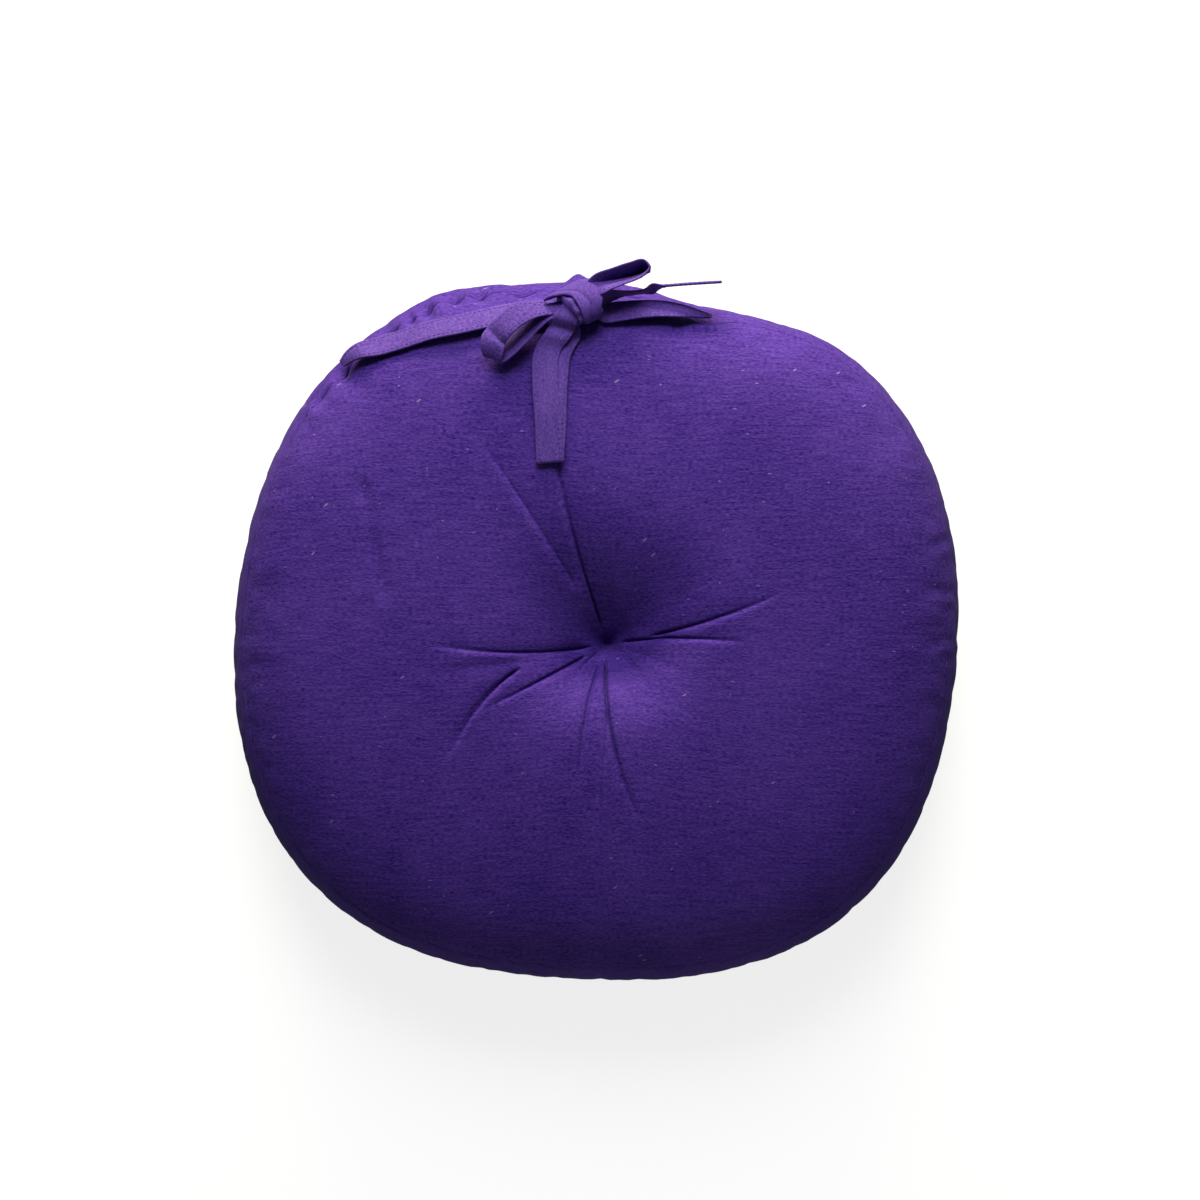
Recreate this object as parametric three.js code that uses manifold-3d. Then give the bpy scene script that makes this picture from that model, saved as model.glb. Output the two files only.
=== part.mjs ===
// Round filled chair pad, tufted in the middle, with two sewn-on ties in a bow at its back edge.
// Millimetres, +Z up. The pad lies on its underside, and +Y points to the edge with the ties.
// Bearings are degrees about the tuft, counted from +X towards +Y.
import * as THREE from "three";
import { mergeVertices } from "three/addons/utils/BufferGeometryUtils.js";
import Module from "manifold-3d";

const wasm = await Module();
wasm.setup();

// Finish

const COTTON = 0x45298a;
const TIE_COTTON = 0x553299;
const COTTON_ROUGHNESS = 0.95;

// Driving dimensions

const TUFT = { x: 5.9, y: -11.3 };

// The widest line of the side band, as a distance from the tuft
const EDGE = { radius: 202.5, offset: 12.2, offsetBearing: 117, oval: 2, ovalBearing: 5 };
const LOBES = { three: 2, threeBearing: -36, square: 5.2, squareBearing: 40 };

// Where the knotted ties pull the back edge in, or press it out beside them
const BACK_EDGE = [
  { bearing: 70, spread: 13, out: -9 },
  { bearing: 78, spread: 5, out: -2.5 },
  { bearing: 85, spread: 11, out: -4 },
  { bearing: 100, spread: 9, out: -5 },
  { bearing: 116, spread: 5, out: 2 },
];

const CROWN = { seamHeight: 50, rise: 14, shoulderRise: 18, shoulderPower: 10 };

// The tuft draws down a dip, broader towards the back, with a narrow pit in its middle
const TUFT_PULL = { dip: 11, dipFront: 0.125, dipBack: 0.26, depth: 24, reach: 0.085 };

const SEAM_NOTCH = 0.9;
const SIDE_BAND = { bulge: 9, bottomSeam: 12 };
const UNDERSIDE = { restRadius: 0.88, hollowRadius: 0.4, hollowDepth: 14, hollowPower: 1.7 };

// The rounded lower edge, between the bottom seam and the part that rests
const LOWER_EDGE = [
  { inward: 0.25, height: 6 },
  { inward: 0.6, height: 1.6 },
];

// Creases that the tuft draws into the top panel: the bearings of their inner and outer ends, where they
// start and stop along the way out from the tuft, and their section
const CREASE_SECTOR = 60;
const CREASE_RAMP = 0.12;
const CREASES = [
  { inner: 111, outer: 104.6, from: 4, to: 122, depth: 6, halfWidth: 5 },
  { inner: 193, outer: 181, from: 6, to: 92, depth: 4, halfWidth: 4.5 },
  { inner: 212, outer: 209, from: 12, to: 72, depth: 3, halfWidth: 4 },
  { inner: 197, outer: 217, from: 47, to: 106, depth: 3, halfWidth: 4.5 },
  { inner: 249, outer: 260, from: 8, to: 80, depth: 2.4, halfWidth: 4 },
  { inner: 265.5, outer: 280, from: 6, to: 95, depth: 4, halfWidth: 4.5 },
  { inner: 5, outer: -0.5, from: 6, to: 72, depth: 4, halfWidth: 4.5 },
  { inner: 8, outer: 15.5, from: 22, to: 94, depth: 3, halfWidth: 5 },
  { inner: 120, outer: 122.5, from: 30, to: 130, depth: 2.4, halfWidth: 5 },
];

// Hollows between the lobes of the back seam, which the roots of the two ties draw up. They start at a share
// of the top panel, sink by a share of their depth, and fade out down the side band.
const GATHER = { topFrom: 0.9, sink: 0.6, bandTo: 0.45 };
const HOLLOWS = [
  { bearing: 72.6, spread: 3.2, depth: 3.4 },
  { bearing: 86, spread: 2, depth: 1.6 },
  { bearing: 103.6, spread: 1.8, depth: 2.4 },
  { bearing: 110, spread: 1.3, depth: 3 },
  { bearing: 113.8, spread: 1.4, depth: 3 },
  { bearing: 118.4, spread: 1.4, depth: 3.4 },
  { bearing: 125.3, spread: 1.5, depth: 3.6 },
  { bearing: 134.4, spread: 1.6, depth: 3.4 },
];

// A fold of the side band that stands out behind the knot
const KNOT_FOLD = { bearing: 94.5, spread: 2, out: 8 };

// Each tie is a folded strip of the cover's cotton
const TIE = { width: 15, thickness: 1.6, stepsPerRow: 4 };

// The bow's knot: a band of the right tie around the gathered cloth of both ties, which meet inside it.
// Its axis runs along the bearing, falls by the tilt, and its section lies on the slope of the pad.
const KNOT = { x: -8, y: 170.5, height: 72.5, bearing: 32, tilt: 18, slope: -20 };
const BAND = { halfWidth: 13, halfHeight: 8, thickness: 1.8, underRim: 5 };
const BAND_NECK = { narrower: 0.3, from: 4, to: 18 };
const BAND_HOOD = { from: -0.35, to: 0.1 };

// Where the band's two rims lie along the knot's axis, for places across its top
const BAND_RIMS = [
  { across: -13, left: -17, right: 13 },
  { across: -10, left: -13, right: 15 },
  { across: -6, left: -8, right: 17 },
  { across: -2, left: -5.8, right: 18 },
  { across: 3, left: -6, right: 15 },
  { across: 8, left: -6.5, right: 10 },
  { across: 12.3, left: -7, right: 4.5 },
];

const LEFT_GATHER = { from: -9, to: 1.4, gap: 0.5 };
const RIGHT_GATHER = { from: 2, to: 6, gap: -0.4 };

// A row for each section of a strip: its middle, the bearing and slope of its width, and how wide it lies
// where it is not spread flat. A height named lift is above the pad, and one named z is above the floor.
const LEFT_STRAP = [
  { x: -138.4, y: 141, z: 53, turn: 130, slope: -20, width: 5 },
  { x: -134.2, y: 144.6, z: 55.4, turn: 124, slope: -30, width: 9 },
  { x: -128, y: 147.4, z: 58.2, turn: 116, slope: -36, width: 13 },
  { x: -119, y: 149.4, lift: 4.2, turn: 110, slope: -37 },
  { x: -106, y: 152.8, lift: 3.2, turn: 106, slope: -36 },
  { x: -89.5, y: 157.2, lift: 3.2, turn: 104, slope: -36 },
  { x: -73.5, y: 160, lift: 3.2, turn: 103, slope: -35 },
  { x: -60, y: 163.2, lift: 3.6, turn: 104, slope: -34 },
  { x: -41, y: 167.2, lift: 4.2, turn: 106, slope: -31, width: 14 },
  { x: -25, y: 168.6, z: 67.6, turn: 112, slope: -26, width: 11 },
  { x: -13.5, y: 166.6, z: 70, turn: 120, slope: -20, width: 9 },
];
const RIGHT_STRAP = [
  { x: 63, y: 168.2, z: 49, turn: 76, slope: -40, width: 3.4 },
  { x: 58, y: 168.2, z: 52.6, turn: 78, slope: -44, width: 6.4 },
  { x: 52, y: 168.6, z: 56.4, turn: 82, slope: -46, width: 10 },
  { x: 46, y: 169, z: 59.4, turn: 86, slope: -46, width: 13 },
  { x: 35, y: 169.6, z: 61.8, turn: 90, slope: -43 },
  { x: 24, y: 169, z: 63.4, turn: 95, slope: -39 },
  { x: 13, y: 167.6, z: 64.6, turn: 100, slope: -34 },
  { x: 3, y: 166.4, z: 65.4, turn: 106, slope: -28, width: 14 },
  { x: -5.2, y: 169.6, z: 64.4, turn: 118, slope: -20, width: 11 },
];
const LEFT_LOOP = [
  { x: -13.7, y: 167.6, z: 74.2, turn: 120, slope: -22, width: 9 },
  { x: -18.7, y: 167.4, z: 74.2, turn: 118, slope: -24, width: 9 },
  { x: -24.4, y: 166.4, z: 74.4, turn: 117, slope: -25, width: 8.4 },
  { x: -30.4, y: 165.8, z: 76.8, turn: 117, slope: -25, width: 10 },
  { x: -36, y: 165, z: 79.4, turn: 118, slope: -25, width: 13.5 },
  { x: -42.2, y: 161.9, z: 81, turn: 119, slope: -25 },
  { x: -47.8, y: 157, z: 81.4, turn: 122, slope: -25 },
  { x: -51.3, y: 153.6, z: 80.4, turn: 128, slope: -22 },
  { x: -53.4, y: 151, z: 79, turn: 136, slope: -16, width: 14.5 },
  { x: -54.7, y: 147.8, z: 81, turn: 150, slope: -10, width: 14.5 },
  { x: -55.4, y: 143.8, z: 81.2, turn: 158, slope: -8, width: 13.5 },
  { x: -55.6, y: 140.4, z: 79.8, turn: 160, slope: -10, width: 11.5 },
  { x: -55.2, y: 138.6, z: 77.8, turn: 156, slope: -14, width: 9.5 },
  { x: -52.6, y: 140, z: 76.6, turn: 145, slope: -24, width: 11 },
  { x: -48.4, y: 144, z: 76.2, turn: 134, slope: -32, width: 13.5 },
  { x: -43.2, y: 149.4, z: 75.8, turn: 127, slope: -36 },
  { x: -38, y: 155, z: 75.2, turn: 122, slope: -34 },
  { x: -32.4, y: 160.6, z: 74.6, turn: 120, slope: -29, width: 13 },
  { x: -25.4, y: 165.2, z: 74.2, turn: 119, slope: -25, width: 11 },
  { x: -13.6, y: 167.4, z: 74.2, turn: 120, slope: -22, width: 9 },
];
const RIGHT_LOOP = [
  { x: -6, y: 174, z: 73.6, turn: -62, slope: 5, width: 9 },
  { x: -1.5, y: 177.3, z: 74.6, turn: -64, slope: 22, width: 11.5 },
  { x: 5.2, y: 179.4, z: 74.6, turn: -66, slope: 48, width: 13 },
  { x: 12.7, y: 181.8, z: 72.8, turn: -66, slope: 62, width: 14 },
  { x: 20.2, y: 184.2, z: 71, turn: -65, slope: 69, width: 14 },
  { x: 25.1, y: 186.4, z: 70, turn: -64, slope: 76, width: 14 },
  { x: 28.6, y: 189.4, z: 69.4, turn: -63, slope: 90, width: 14 },
  { x: 26.4, y: 191.4, z: 69.2, turn: -62, slope: 106, width: 14 },
  { x: 18.3, y: 188.9, z: 69.8, turn: -62, slope: 113, width: 14 },
  { x: 8.6, y: 185.2, z: 71, turn: -62, slope: 118, width: 13 },
  { x: 1, y: 181.7, z: 72.2, turn: -62, slope: 135, width: 11 },
  { x: -4.7, y: 175.5, z: 72, turn: -62, slope: 165, width: 9 },
];
const FRONT_TAIL = [
  { x: -10.4, y: 168.4, z: 75, turn: 122, slope: -20, width: 9 },
  { x: -14.2, y: 164.8, z: 77, turn: 146, slope: -12, width: 12 },
  { x: -16.4, y: 160.2, z: 77.4, turn: 160, slope: -5, width: 13.5 },
  { x: -18.5, y: 156.2, z: 74, turn: 166, slope: -2, width: 14 },
  { x: -20.9, y: 152, z: 75.4, turn: 167, slope: 0, width: 14 },
  { x: -25, y: 146.2, lift: 4.2, turn: 172, slope: 0, width: 14 },
  { x: -27.1, y: 139.6, lift: 3.4, turn: 177, slope: 0, width: 14 },
  { x: -27.3, y: 130.7, lift: 3.2, turn: 180, slope: 0, width: 14 },
  { x: -26.7, y: 119.7, lift: 3.2, turn: 182, slope: 0, width: 14 },
  { x: -25.8, y: 108.7, lift: 3.2, turn: 183, slope: 0, width: 14 },
  { x: -25, y: 95.2, lift: 2.8, turn: 184, slope: 0, width: 14.5 },
  { x: -24.2, y: 82.8, lift: 2.2, turn: 184, slope: 0 },
];
const TAIL_BACK_PLY = [
  { x: -13, y: 166.2, z: 70.6, turn: 125, slope: -18, width: 9 },
  { x: -13.6, y: 159.5, z: 71, turn: 150, slope: -8, width: 12 },
  { x: -14.6, y: 153.4, lift: 2.6, turn: 160, slope: 0, width: 13 },
  { x: -17.6, y: 147.4, lift: 2.3, turn: 170, slope: 0, width: 13 },
  { x: -20.4, y: 141.4, lift: 2.3, turn: 178, slope: 0, width: 14 },
  { x: -21.7, y: 131, lift: 2.3, turn: 180, slope: 0, width: 14 },
  { x: -22.5, y: 117.3, lift: 2.2, turn: 182, slope: 0, width: 14 },
  { x: -22.9, y: 100.9, lift: 2, turn: 184, slope: 0, width: 14 },
  { x: -24.1, y: 84.5, lift: 2, turn: 184, slope: 0, width: 14 },
];
const RIGHT_TAIL = [
  { x: -4.3, y: 172.4, z: 69.6, turn: 112, slope: -20, width: 9 },
  { x: 2, y: 174.6, z: 66, turn: 106, slope: 20, width: 8.5 },
  { x: 8, y: 176.4, z: 63.4, turn: 102, slope: 55, width: 8.5 },
  { x: 14.5, y: 177.8, z: 61.8, turn: 99, slope: 85, width: 9 },
  { x: 20, y: 178.4, z: 61, turn: 98, slope: 92, width: 9.5 },
  { x: 25.9, y: 179.3, z: 60.6, turn: 98, slope: 92, width: 10.5 },
  { x: 30.5, y: 180.8, z: 60.2, turn: 104, slope: 76, width: 12 },
  { x: 35.5, y: 182.2, z: 59.8, turn: 100, slope: 98, width: 13.5 },
  { x: 45.5, y: 183.4, z: 59.2, turn: 96, slope: 103, width: 14 },
  { x: 56.4, y: 184.3, z: 58.6, turn: 95, slope: 103, width: 14 },
  { x: 67.8, y: 185.1, z: 58, turn: 95, slope: 103, width: 14 },
];

// Resolution of the pad's surface
const FINE_ARC = { from: 66, to: 141, step: 1.5 };
const COARSE_STEP = 3.6;
const TUFT_SHARES = [0.03, 0.06, 0.1, 0.15, 0.21, 0.28];
const CROWN_SHARES = [0.36, 0.45, 0.54, 0.63, 0.72, 0.8];
const EDGE_SHARES = [0.87, 0.92, 0.96, 0.985, 1];
const TOP_SHARES = [...TUFT_SHARES, ...CROWN_SHARES, ...EDGE_SHARES];
const BAND_SHARES = [0.1, 0.28, 0.5, 0.72, 0.9, 1];
const HOLLOW_SHARES = [0.72, 0.42, 0.16];
const BAND_SIDES = 36;
const BAND_SHARES_ALONG = [0, 0.06, 0.25, 0.5, 0.75, 0.94, 1];
const STRIP_CORNERS = [[-1, -1], [1, -1], [1, 1], [-1, 1]];
const MERGE_DISTANCE = 1e-4;

const radians = THREE.MathUtils.degToRad;
const lerp = THREE.MathUtils.lerp;
const smoothstep = THREE.MathUtils.smoothstep;

// The shortest way from one bearing to another, in degrees
function turnBetween(from, to) {
  return ((((to - from) % 360) + 540) % 360) - 180;
}

function bell(distance, spread) {
  return Math.exp(-((distance / spread) ** 2));
}

// Pad

// Distance from the tuft to the widest line of the side band
function edgeRadius(bearing) {
  const wave = (count, start) => Math.cos(radians(count * (bearing - start)));
  const offset = EDGE.offset * wave(1, EDGE.offsetBearing);
  const oval = EDGE.oval * wave(2, EDGE.ovalBearing);
  const lobes = LOBES.three * wave(3, LOBES.threeBearing) + LOBES.square * wave(4, LOBES.squareBearing);
  const pulls = BACK_EDGE.map((pull) => pull.out * bell(turnBetween(pull.bearing, bearing), pull.spread));
  return EDGE.radius + offset + oval + lobes + pulls.reduce((sum, pull) => sum + pull, 0);
}

function seamRadius(bearing) {
  return edgeRadius(bearing) - SIDE_BAND.bulge;
}

// How far the gathers draw the back seam in
function drawnIn(bearing) {
  let depth = 0;
  for (const hollow of HOLLOWS) {
    depth += hollow.depth * bell(turnBetween(hollow.bearing, bearing), hollow.spread);
  }
  return depth;
}

function creaseDepth(bearing, distance) {
  let depth = 0;
  for (const crease of CREASES) {
    const along = (distance - crease.from) / (crease.to - crease.from);
    if (along <= 0 || along >= 1) continue;
    const line = lerp(crease.inner, crease.outer, along);
    const aside = turnBetween(line, bearing);
    if (Math.abs(aside) > CREASE_SECTOR) continue;
    const fade = smoothstep(along, 0, CREASE_RAMP) * (1 - along);
    depth += crease.depth * fade * bell(distance * Math.sin(radians(aside)), crease.halfWidth);
  }
  return depth;
}

// Height of the top panel at a share of the way from the tuft to the top seam
function topHeight(bearing, share) {
  const crown = CROWN.rise * (1 - share ** 2);
  const shoulder = CROWN.shoulderRise * (1 - share ** CROWN.shoulderPower);
  const towardsBack = 0.5 + 0.5 * Math.sin(radians(bearing));
  const dip = TUFT_PULL.dip * bell(share, lerp(TUFT_PULL.dipFront, TUFT_PULL.dipBack, towardsBack));
  const pit = TUFT_PULL.depth * Math.exp(-share / TUFT_PULL.reach);
  const height = CROWN.seamHeight + crown + shoulder - dip - pit;
  return height - creaseDepth(bearing, share * seamRadius(bearing));
}

function padHeightAt(x, y) {
  const bearing = THREE.MathUtils.radToDeg(Math.atan2(y - TUFT.y, x - TUFT.x));
  const share = Math.hypot(x - TUFT.x, y - TUFT.y) / seamRadius(bearing);
  return topHeight(bearing, Math.min(share, 1));
}

function around(bearing, radius, height) {
  const angle = radians(bearing);
  return new THREE.Vector3(TUFT.x + radius * Math.cos(angle), TUFT.y + radius * Math.sin(angle), height);
}

// One section of the pad at a bearing, from beside the tuft over the crown, the side band and the underside
function padSection(bearing) {
  const seam = seamRadius(bearing);
  const gather = drawnIn(bearing);
  const fold = KNOT_FOLD.out * bell(turnBetween(KNOT_FOLD.bearing, bearing), KNOT_FOLD.spread);
  const notchAt = (share) => (share === 1 ? SEAM_NOTCH : 0);
  const points = TOP_SHARES.map((share) => {
    const near = smoothstep(share, GATHER.topFrom, 1);
    const radius = share * seam - near * (gather - fold) - notchAt(share);
    return around(bearing, radius, topHeight(bearing, share) - GATHER.sink * near * gather);
  });
  for (const share of BAND_SHARES) {
    const bulge = SIDE_BAND.bulge * Math.sin(Math.PI * share);
    const drawn = (gather - fold) * (1 - smoothstep(share, 0, GATHER.bandTo));
    const height = lerp(CROWN.seamHeight, SIDE_BAND.bottomSeam, share);
    points.push(around(bearing, seam + bulge - drawn - notchAt(share), height));
  }
  const rest = UNDERSIDE.restRadius;
  const hollow = UNDERSIDE.hollowRadius;
  for (const { inward, height } of LOWER_EDGE) {
    points.push(around(bearing, lerp(1, rest, inward) * seam, height));
  }
  points.push(around(bearing, rest * seam, 0));
  points.push(around(bearing, hollow * seam, 0));
  for (const share of HOLLOW_SHARES) {
    const height = UNDERSIDE.hollowDepth * (1 - share) ** UNDERSIDE.hollowPower;
    points.push(around(bearing, share * hollow * seam, height));
  }
  return points;
}

function padBearings() {
  const bearings = [];
  const coarse = 360 - (FINE_ARC.to - FINE_ARC.from);
  const coarseCount = Math.round(coarse / COARSE_STEP);
  for (let b = FINE_ARC.from; b < FINE_ARC.to; b += FINE_ARC.step) bearings.push(b);
  for (let i = 0; i < coarseCount; i++) bearings.push(FINE_ARC.to + (coarse * i) / coarseCount);
  return bearings;
}

// The closed surface through sections that stand around an axis, with a point at each pole
function closedAround(sections, topPole, bottomPole) {
  const rows = sections[0].length;
  const at = (column, row) => (column % sections.length) * rows + row;
  const top = sections.length * rows;
  const index = [];
  for (let c = 0; c < sections.length; c++) {
    index.push(top, at(c, 0), at(c + 1, 0));
    for (let r = 0; r < rows - 1; r++) {
      index.push(at(c, r), at(c, r + 1), at(c + 1, r + 1));
      index.push(at(c, r), at(c + 1, r + 1), at(c + 1, r));
    }
    index.push(at(c, rows - 1), top + 1, at(c + 1, rows - 1));
  }
  const geometry = new THREE.BufferGeometry().setFromPoints([...sections.flat(), topPole, bottomPole]);
  return geometry.setIndex(index);
}

function padGeometry() {
  const topPole = around(0, 0, topHeight(0, 0));
  const bottomPole = around(0, 0, UNDERSIDE.hollowDepth);
  return closedAround(padBearings().map(padSection), topPole, bottomPole);
}

// Ties

// The direction of a strip's width from its bearing and its slope
function widthDirection(row) {
  const flat = Math.cos(radians(row.slope));
  const angle = radians(row.turn);
  return new THREE.Vector3(flat * Math.cos(angle), flat * Math.sin(angle), Math.sin(radians(row.slope)));
}

function middleOf(row) {
  return new THREE.Vector3(row.x, row.y, row.z ?? padHeightAt(row.x, row.y) + row.lift);
}

function widthOf(row) {
  return row.width ?? TIE.width;
}

// A strip of cloth with a flat section, swept smoothly through its rows
function stripGeometry(rows) {
  const middle = new THREE.CatmullRomCurve3(rows.map(middleOf));
  const across = new THREE.CatmullRomCurve3(rows.map(widthDirection));
  const steps = (rows.length - 1) * TIE.stepsPerRow;
  const points = [];
  for (let i = 0; i <= steps; i++) {
    const t = i / steps;
    const row = Math.min(Math.floor(i / TIE.stepsPerRow), rows.length - 2);
    const width = lerp(widthOf(rows[row]), widthOf(rows[row + 1]), i / TIE.stepsPerRow - row);
    const centre = middle.getPoint(t);
    const along = middle.getTangent(t);
    const side = across.getPoint(t).setLength(width / 2);
    const face = new THREE.Vector3().crossVectors(along, side).setLength(TIE.thickness / 2);
    for (const [s, f] of STRIP_CORNERS) {
      points.push(centre.clone().addScaledVector(side, s).addScaledVector(face, f));
    }
  }
  const index = [0, 2, 1, 0, 3, 2];
  for (let i = 0; i < steps; i++) {
    for (let k = 0; k < 4; k++) {
      const a = 4 * i + k;
      const b = 4 * i + ((k + 1) % 4);
      index.push(a, b, b + 4, a, b + 4, a + 4);
    }
  }
  const end = 4 * steps;
  index.push(end, end + 1, end + 2, end, end + 2, end + 3);
  return new THREE.BufferGeometry().setFromPoints(points).setIndex(index);
}

// Turns a shape from its own +Y axis to the knot's axis, its section lying on the slope of the pad
function atKnot(geometry) {
  const slope = new THREE.Matrix4().makeRotationY(radians(KNOT.slope));
  const tilt = new THREE.Matrix4().makeRotationX(radians(-KNOT.tilt));
  const lay = new THREE.Matrix4().makeRotationZ(radians(KNOT.bearing - 90));
  const place = new THREE.Matrix4().makeTranslation(KNOT.x, KNOT.y, KNOT.height);
  return geometry.applyMatrix4(place.multiply(lay).multiply(tilt).multiply(slope));
}

// A value between the rows of a table, at a place across the band
function rimAt(across, side) {
  const after = BAND_RIMS.findIndex((rim) => rim.across >= across);
  if (after === 0) return BAND_RIMS[0][side];
  if (after < 0) return BAND_RIMS[BAND_RIMS.length - 1][side];
  const from = BAND_RIMS[after - 1];
  const to = BAND_RIMS[after];
  return lerp(from[side], to[side], (across - from.across) / (to.across - from.across));
}

// A ring around the knot that spreads like a hood over its top and narrows towards the right loop. It is
// plain on its underside, and turns into the hood over a stretch of its height.
function knotBand() {
  const wall = BAND.thickness / BAND.halfWidth;
  const rounded = (share) => (share === 0 || share === 1 ? 1 - wall / 2 : 1);
  const outside = BAND_SHARES_ALONG.map((share) => ({ share, reach: rounded(share) }));
  const inside = BAND_SHARES_ALONG.map((share) => ({ share: 1 - share, reach: 1 - wall }));
  const profile = [...outside, ...inside];
  const points = [];
  const index = [];
  for (let side = 0; side < BAND_SIDES; side++) {
    const angle = (2 * Math.PI * side) / BAND_SIDES;
    const across = BAND.halfWidth * Math.cos(angle);
    const over = smoothstep(Math.sin(angle), BAND_HOOD.from, BAND_HOOD.to);
    const left = lerp(-BAND.underRim, rimAt(across, "left"), over);
    const right = lerp(BAND.underRim, rimAt(across, "right"), over);
    for (const { share, reach } of profile) {
      const along = lerp(left, right, share);
      const size = reach * (1 - BAND_NECK.narrower * smoothstep(along, BAND_NECK.from, BAND_NECK.to));
      points.push(new THREE.Vector3(size * across, along, size * BAND.halfHeight * Math.sin(angle)));
    }
    const next = (side + 1) % BAND_SIDES;
    for (let k = 0; k < profile.length; k++) {
      const after = (k + 1) % profile.length;
      const [a, b] = [side * profile.length + k, side * profile.length + after];
      const [c, d] = [next * profile.length + k, next * profile.length + after];
      index.push(a, b, d, a, d, c);
    }
  }
  return atKnot(new THREE.BufferGeometry().setFromPoints(points).setIndex(index));
}

// Gathered cloth that fills a length of the band, with a gap to the band's inner face
function knotGather(span) {
  const inner = 1 - BAND.thickness / BAND.halfWidth;
  const cloth = new THREE.CylinderGeometry(1, 1, span.to - span.from, BAND_SIDES);
  cloth.scale(inner * BAND.halfWidth - span.gap, 1, inner * BAND.halfHeight - span.gap);
  return atKnot(cloth.translate(0, (span.to + span.from) / 2, 0));
}

// Solids

function solidOf(geometry) {
  const bare = geometry.clone();
  bare.deleteAttribute("normal");
  bare.deleteAttribute("uv");
  const merged = mergeVertices(bare, MERGE_DISTANCE);
  const vertProperties = merged.getAttribute("position").array;
  const triVerts = new Uint32Array(merged.index.array);
  return new wasm.Manifold(new wasm.Mesh({ numProp: 3, vertProperties, triVerts }));
}

function joined(geometries) {
  const mesh = geometries.map(solidOf).reduce((whole, piece) => whole.add(piece)).getMesh();
  const geometry = new THREE.BufferGeometry();
  geometry.setAttribute("position", new THREE.BufferAttribute(mesh.vertProperties, 3));
  geometry.setIndex(new THREE.BufferAttribute(mesh.triVerts, 1));
  geometry.computeVertexNormals();
  return geometry;
}

function part(name, geometry, colour) {
  const finish = { color: colour, roughness: COTTON_ROUGHNESS, metalness: 0 };
  const mesh = new THREE.Mesh(geometry, new THREE.MeshStandardMaterial(finish));
  mesh.name = name;
  return mesh;
}

const leftStrips = [LEFT_STRAP, LEFT_LOOP, FRONT_TAIL, TAIL_BACK_PLY].map(stripGeometry);
const rightStrips = [RIGHT_STRAP, RIGHT_LOOP, RIGHT_TAIL].map(stripGeometry);
const leftTie = joined([knotGather(LEFT_GATHER), ...leftStrips]);
const rightTie = joined([knotBand(), knotGather(RIGHT_GATHER), ...rightStrips]);

const chairPad = new THREE.Group();
chairPad.add(part("pad", padGeometry(), COTTON));
chairPad.add(part("tie_left", leftTie, TIE_COTTON));
chairPad.add(part("tie_right", rightTie, TIE_COTTON));

export default chairPad;
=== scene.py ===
"""A round filled cotton chair pad with a deep tuft, and two sewn-on ties in a bow at its back edge.

The pad lies on its underside. Bearings are degrees about the tuft, counted from +X towards +Y.
Shapes are worked out in millimetres and become metres when a mesh is made.
"""
import logging
import math
from dataclasses import dataclass, field
from enum import Enum

import bpy
import numpy as np
from mathutils import Matrix, Vector
from mathutils.bvhtree import BVHTree
from mathutils.interpolate import poly_3d_calc
from mathutils.kdtree import KDTree

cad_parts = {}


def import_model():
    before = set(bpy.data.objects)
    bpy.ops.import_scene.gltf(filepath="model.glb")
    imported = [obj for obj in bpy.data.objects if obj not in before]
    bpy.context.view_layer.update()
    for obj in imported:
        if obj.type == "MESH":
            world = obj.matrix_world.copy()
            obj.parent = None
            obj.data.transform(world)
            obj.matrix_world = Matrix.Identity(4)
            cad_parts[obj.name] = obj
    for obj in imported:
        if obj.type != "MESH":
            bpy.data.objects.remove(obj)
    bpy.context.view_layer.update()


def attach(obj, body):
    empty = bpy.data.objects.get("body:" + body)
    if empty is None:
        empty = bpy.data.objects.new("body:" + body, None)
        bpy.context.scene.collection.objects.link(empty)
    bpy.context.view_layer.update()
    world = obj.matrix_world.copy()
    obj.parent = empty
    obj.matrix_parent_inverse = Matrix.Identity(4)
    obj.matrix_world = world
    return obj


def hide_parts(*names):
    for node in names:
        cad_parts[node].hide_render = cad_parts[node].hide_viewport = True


LOG = logging.getLogger("chair_pad")
MM = 0.001
TINY = 1e-9
FULL_TURN = 2.0 * np.pi
WHITE = (1.0, 1.0, 1.0, 1.0)
BODY = "root"
CLOTH_MAP = "cloth"
PIN_GROUP = "held"


class Slot(Enum):
    """The record's material slots."""

    COVER = "cover_cotton"
    TIE = "tie_cotton"


class Panel(Enum):
    """The cover's three panels, with the place of each on the cloth map, in metres."""

    TOP = (0.0, 0.0)
    BAND = (0.0, 1.0)
    UNDERSIDE = (1.0, 0.0)


# Small tools


def turn_between(start: np.ndarray | float, end: np.ndarray | float) -> np.ndarray:
    """The shortest way from one bearing to another.

    Args:
        start: The first bearing, in degrees.
        end: The second bearing, in degrees.

    Returns:
        The turn in degrees, from -180 to 180.
    """
    return np.mod(np.subtract(end, start) + 540.0, 360.0) - 180.0


def bell(distance: np.ndarray, spread: np.ndarray | float) -> np.ndarray:
    """A smooth hump of height 1 that has fallen to about a third at the spread."""
    return np.exp(-((distance / spread) ** 2))


def smoothstep(value: np.ndarray, low: float, high: float) -> np.ndarray:
    """A smooth step from 0 at low to 1 at high."""
    share = np.clip((value - low) / (high - low), 0.0, 1.0)
    return share * share * (3.0 - 2.0 * share)


def lerp(start: np.ndarray | float, end: np.ndarray | float, share: np.ndarray | float) -> np.ndarray:
    """The value at a share of the way from start to end."""
    return np.add(start, np.multiply(np.subtract(end, start), share))


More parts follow.
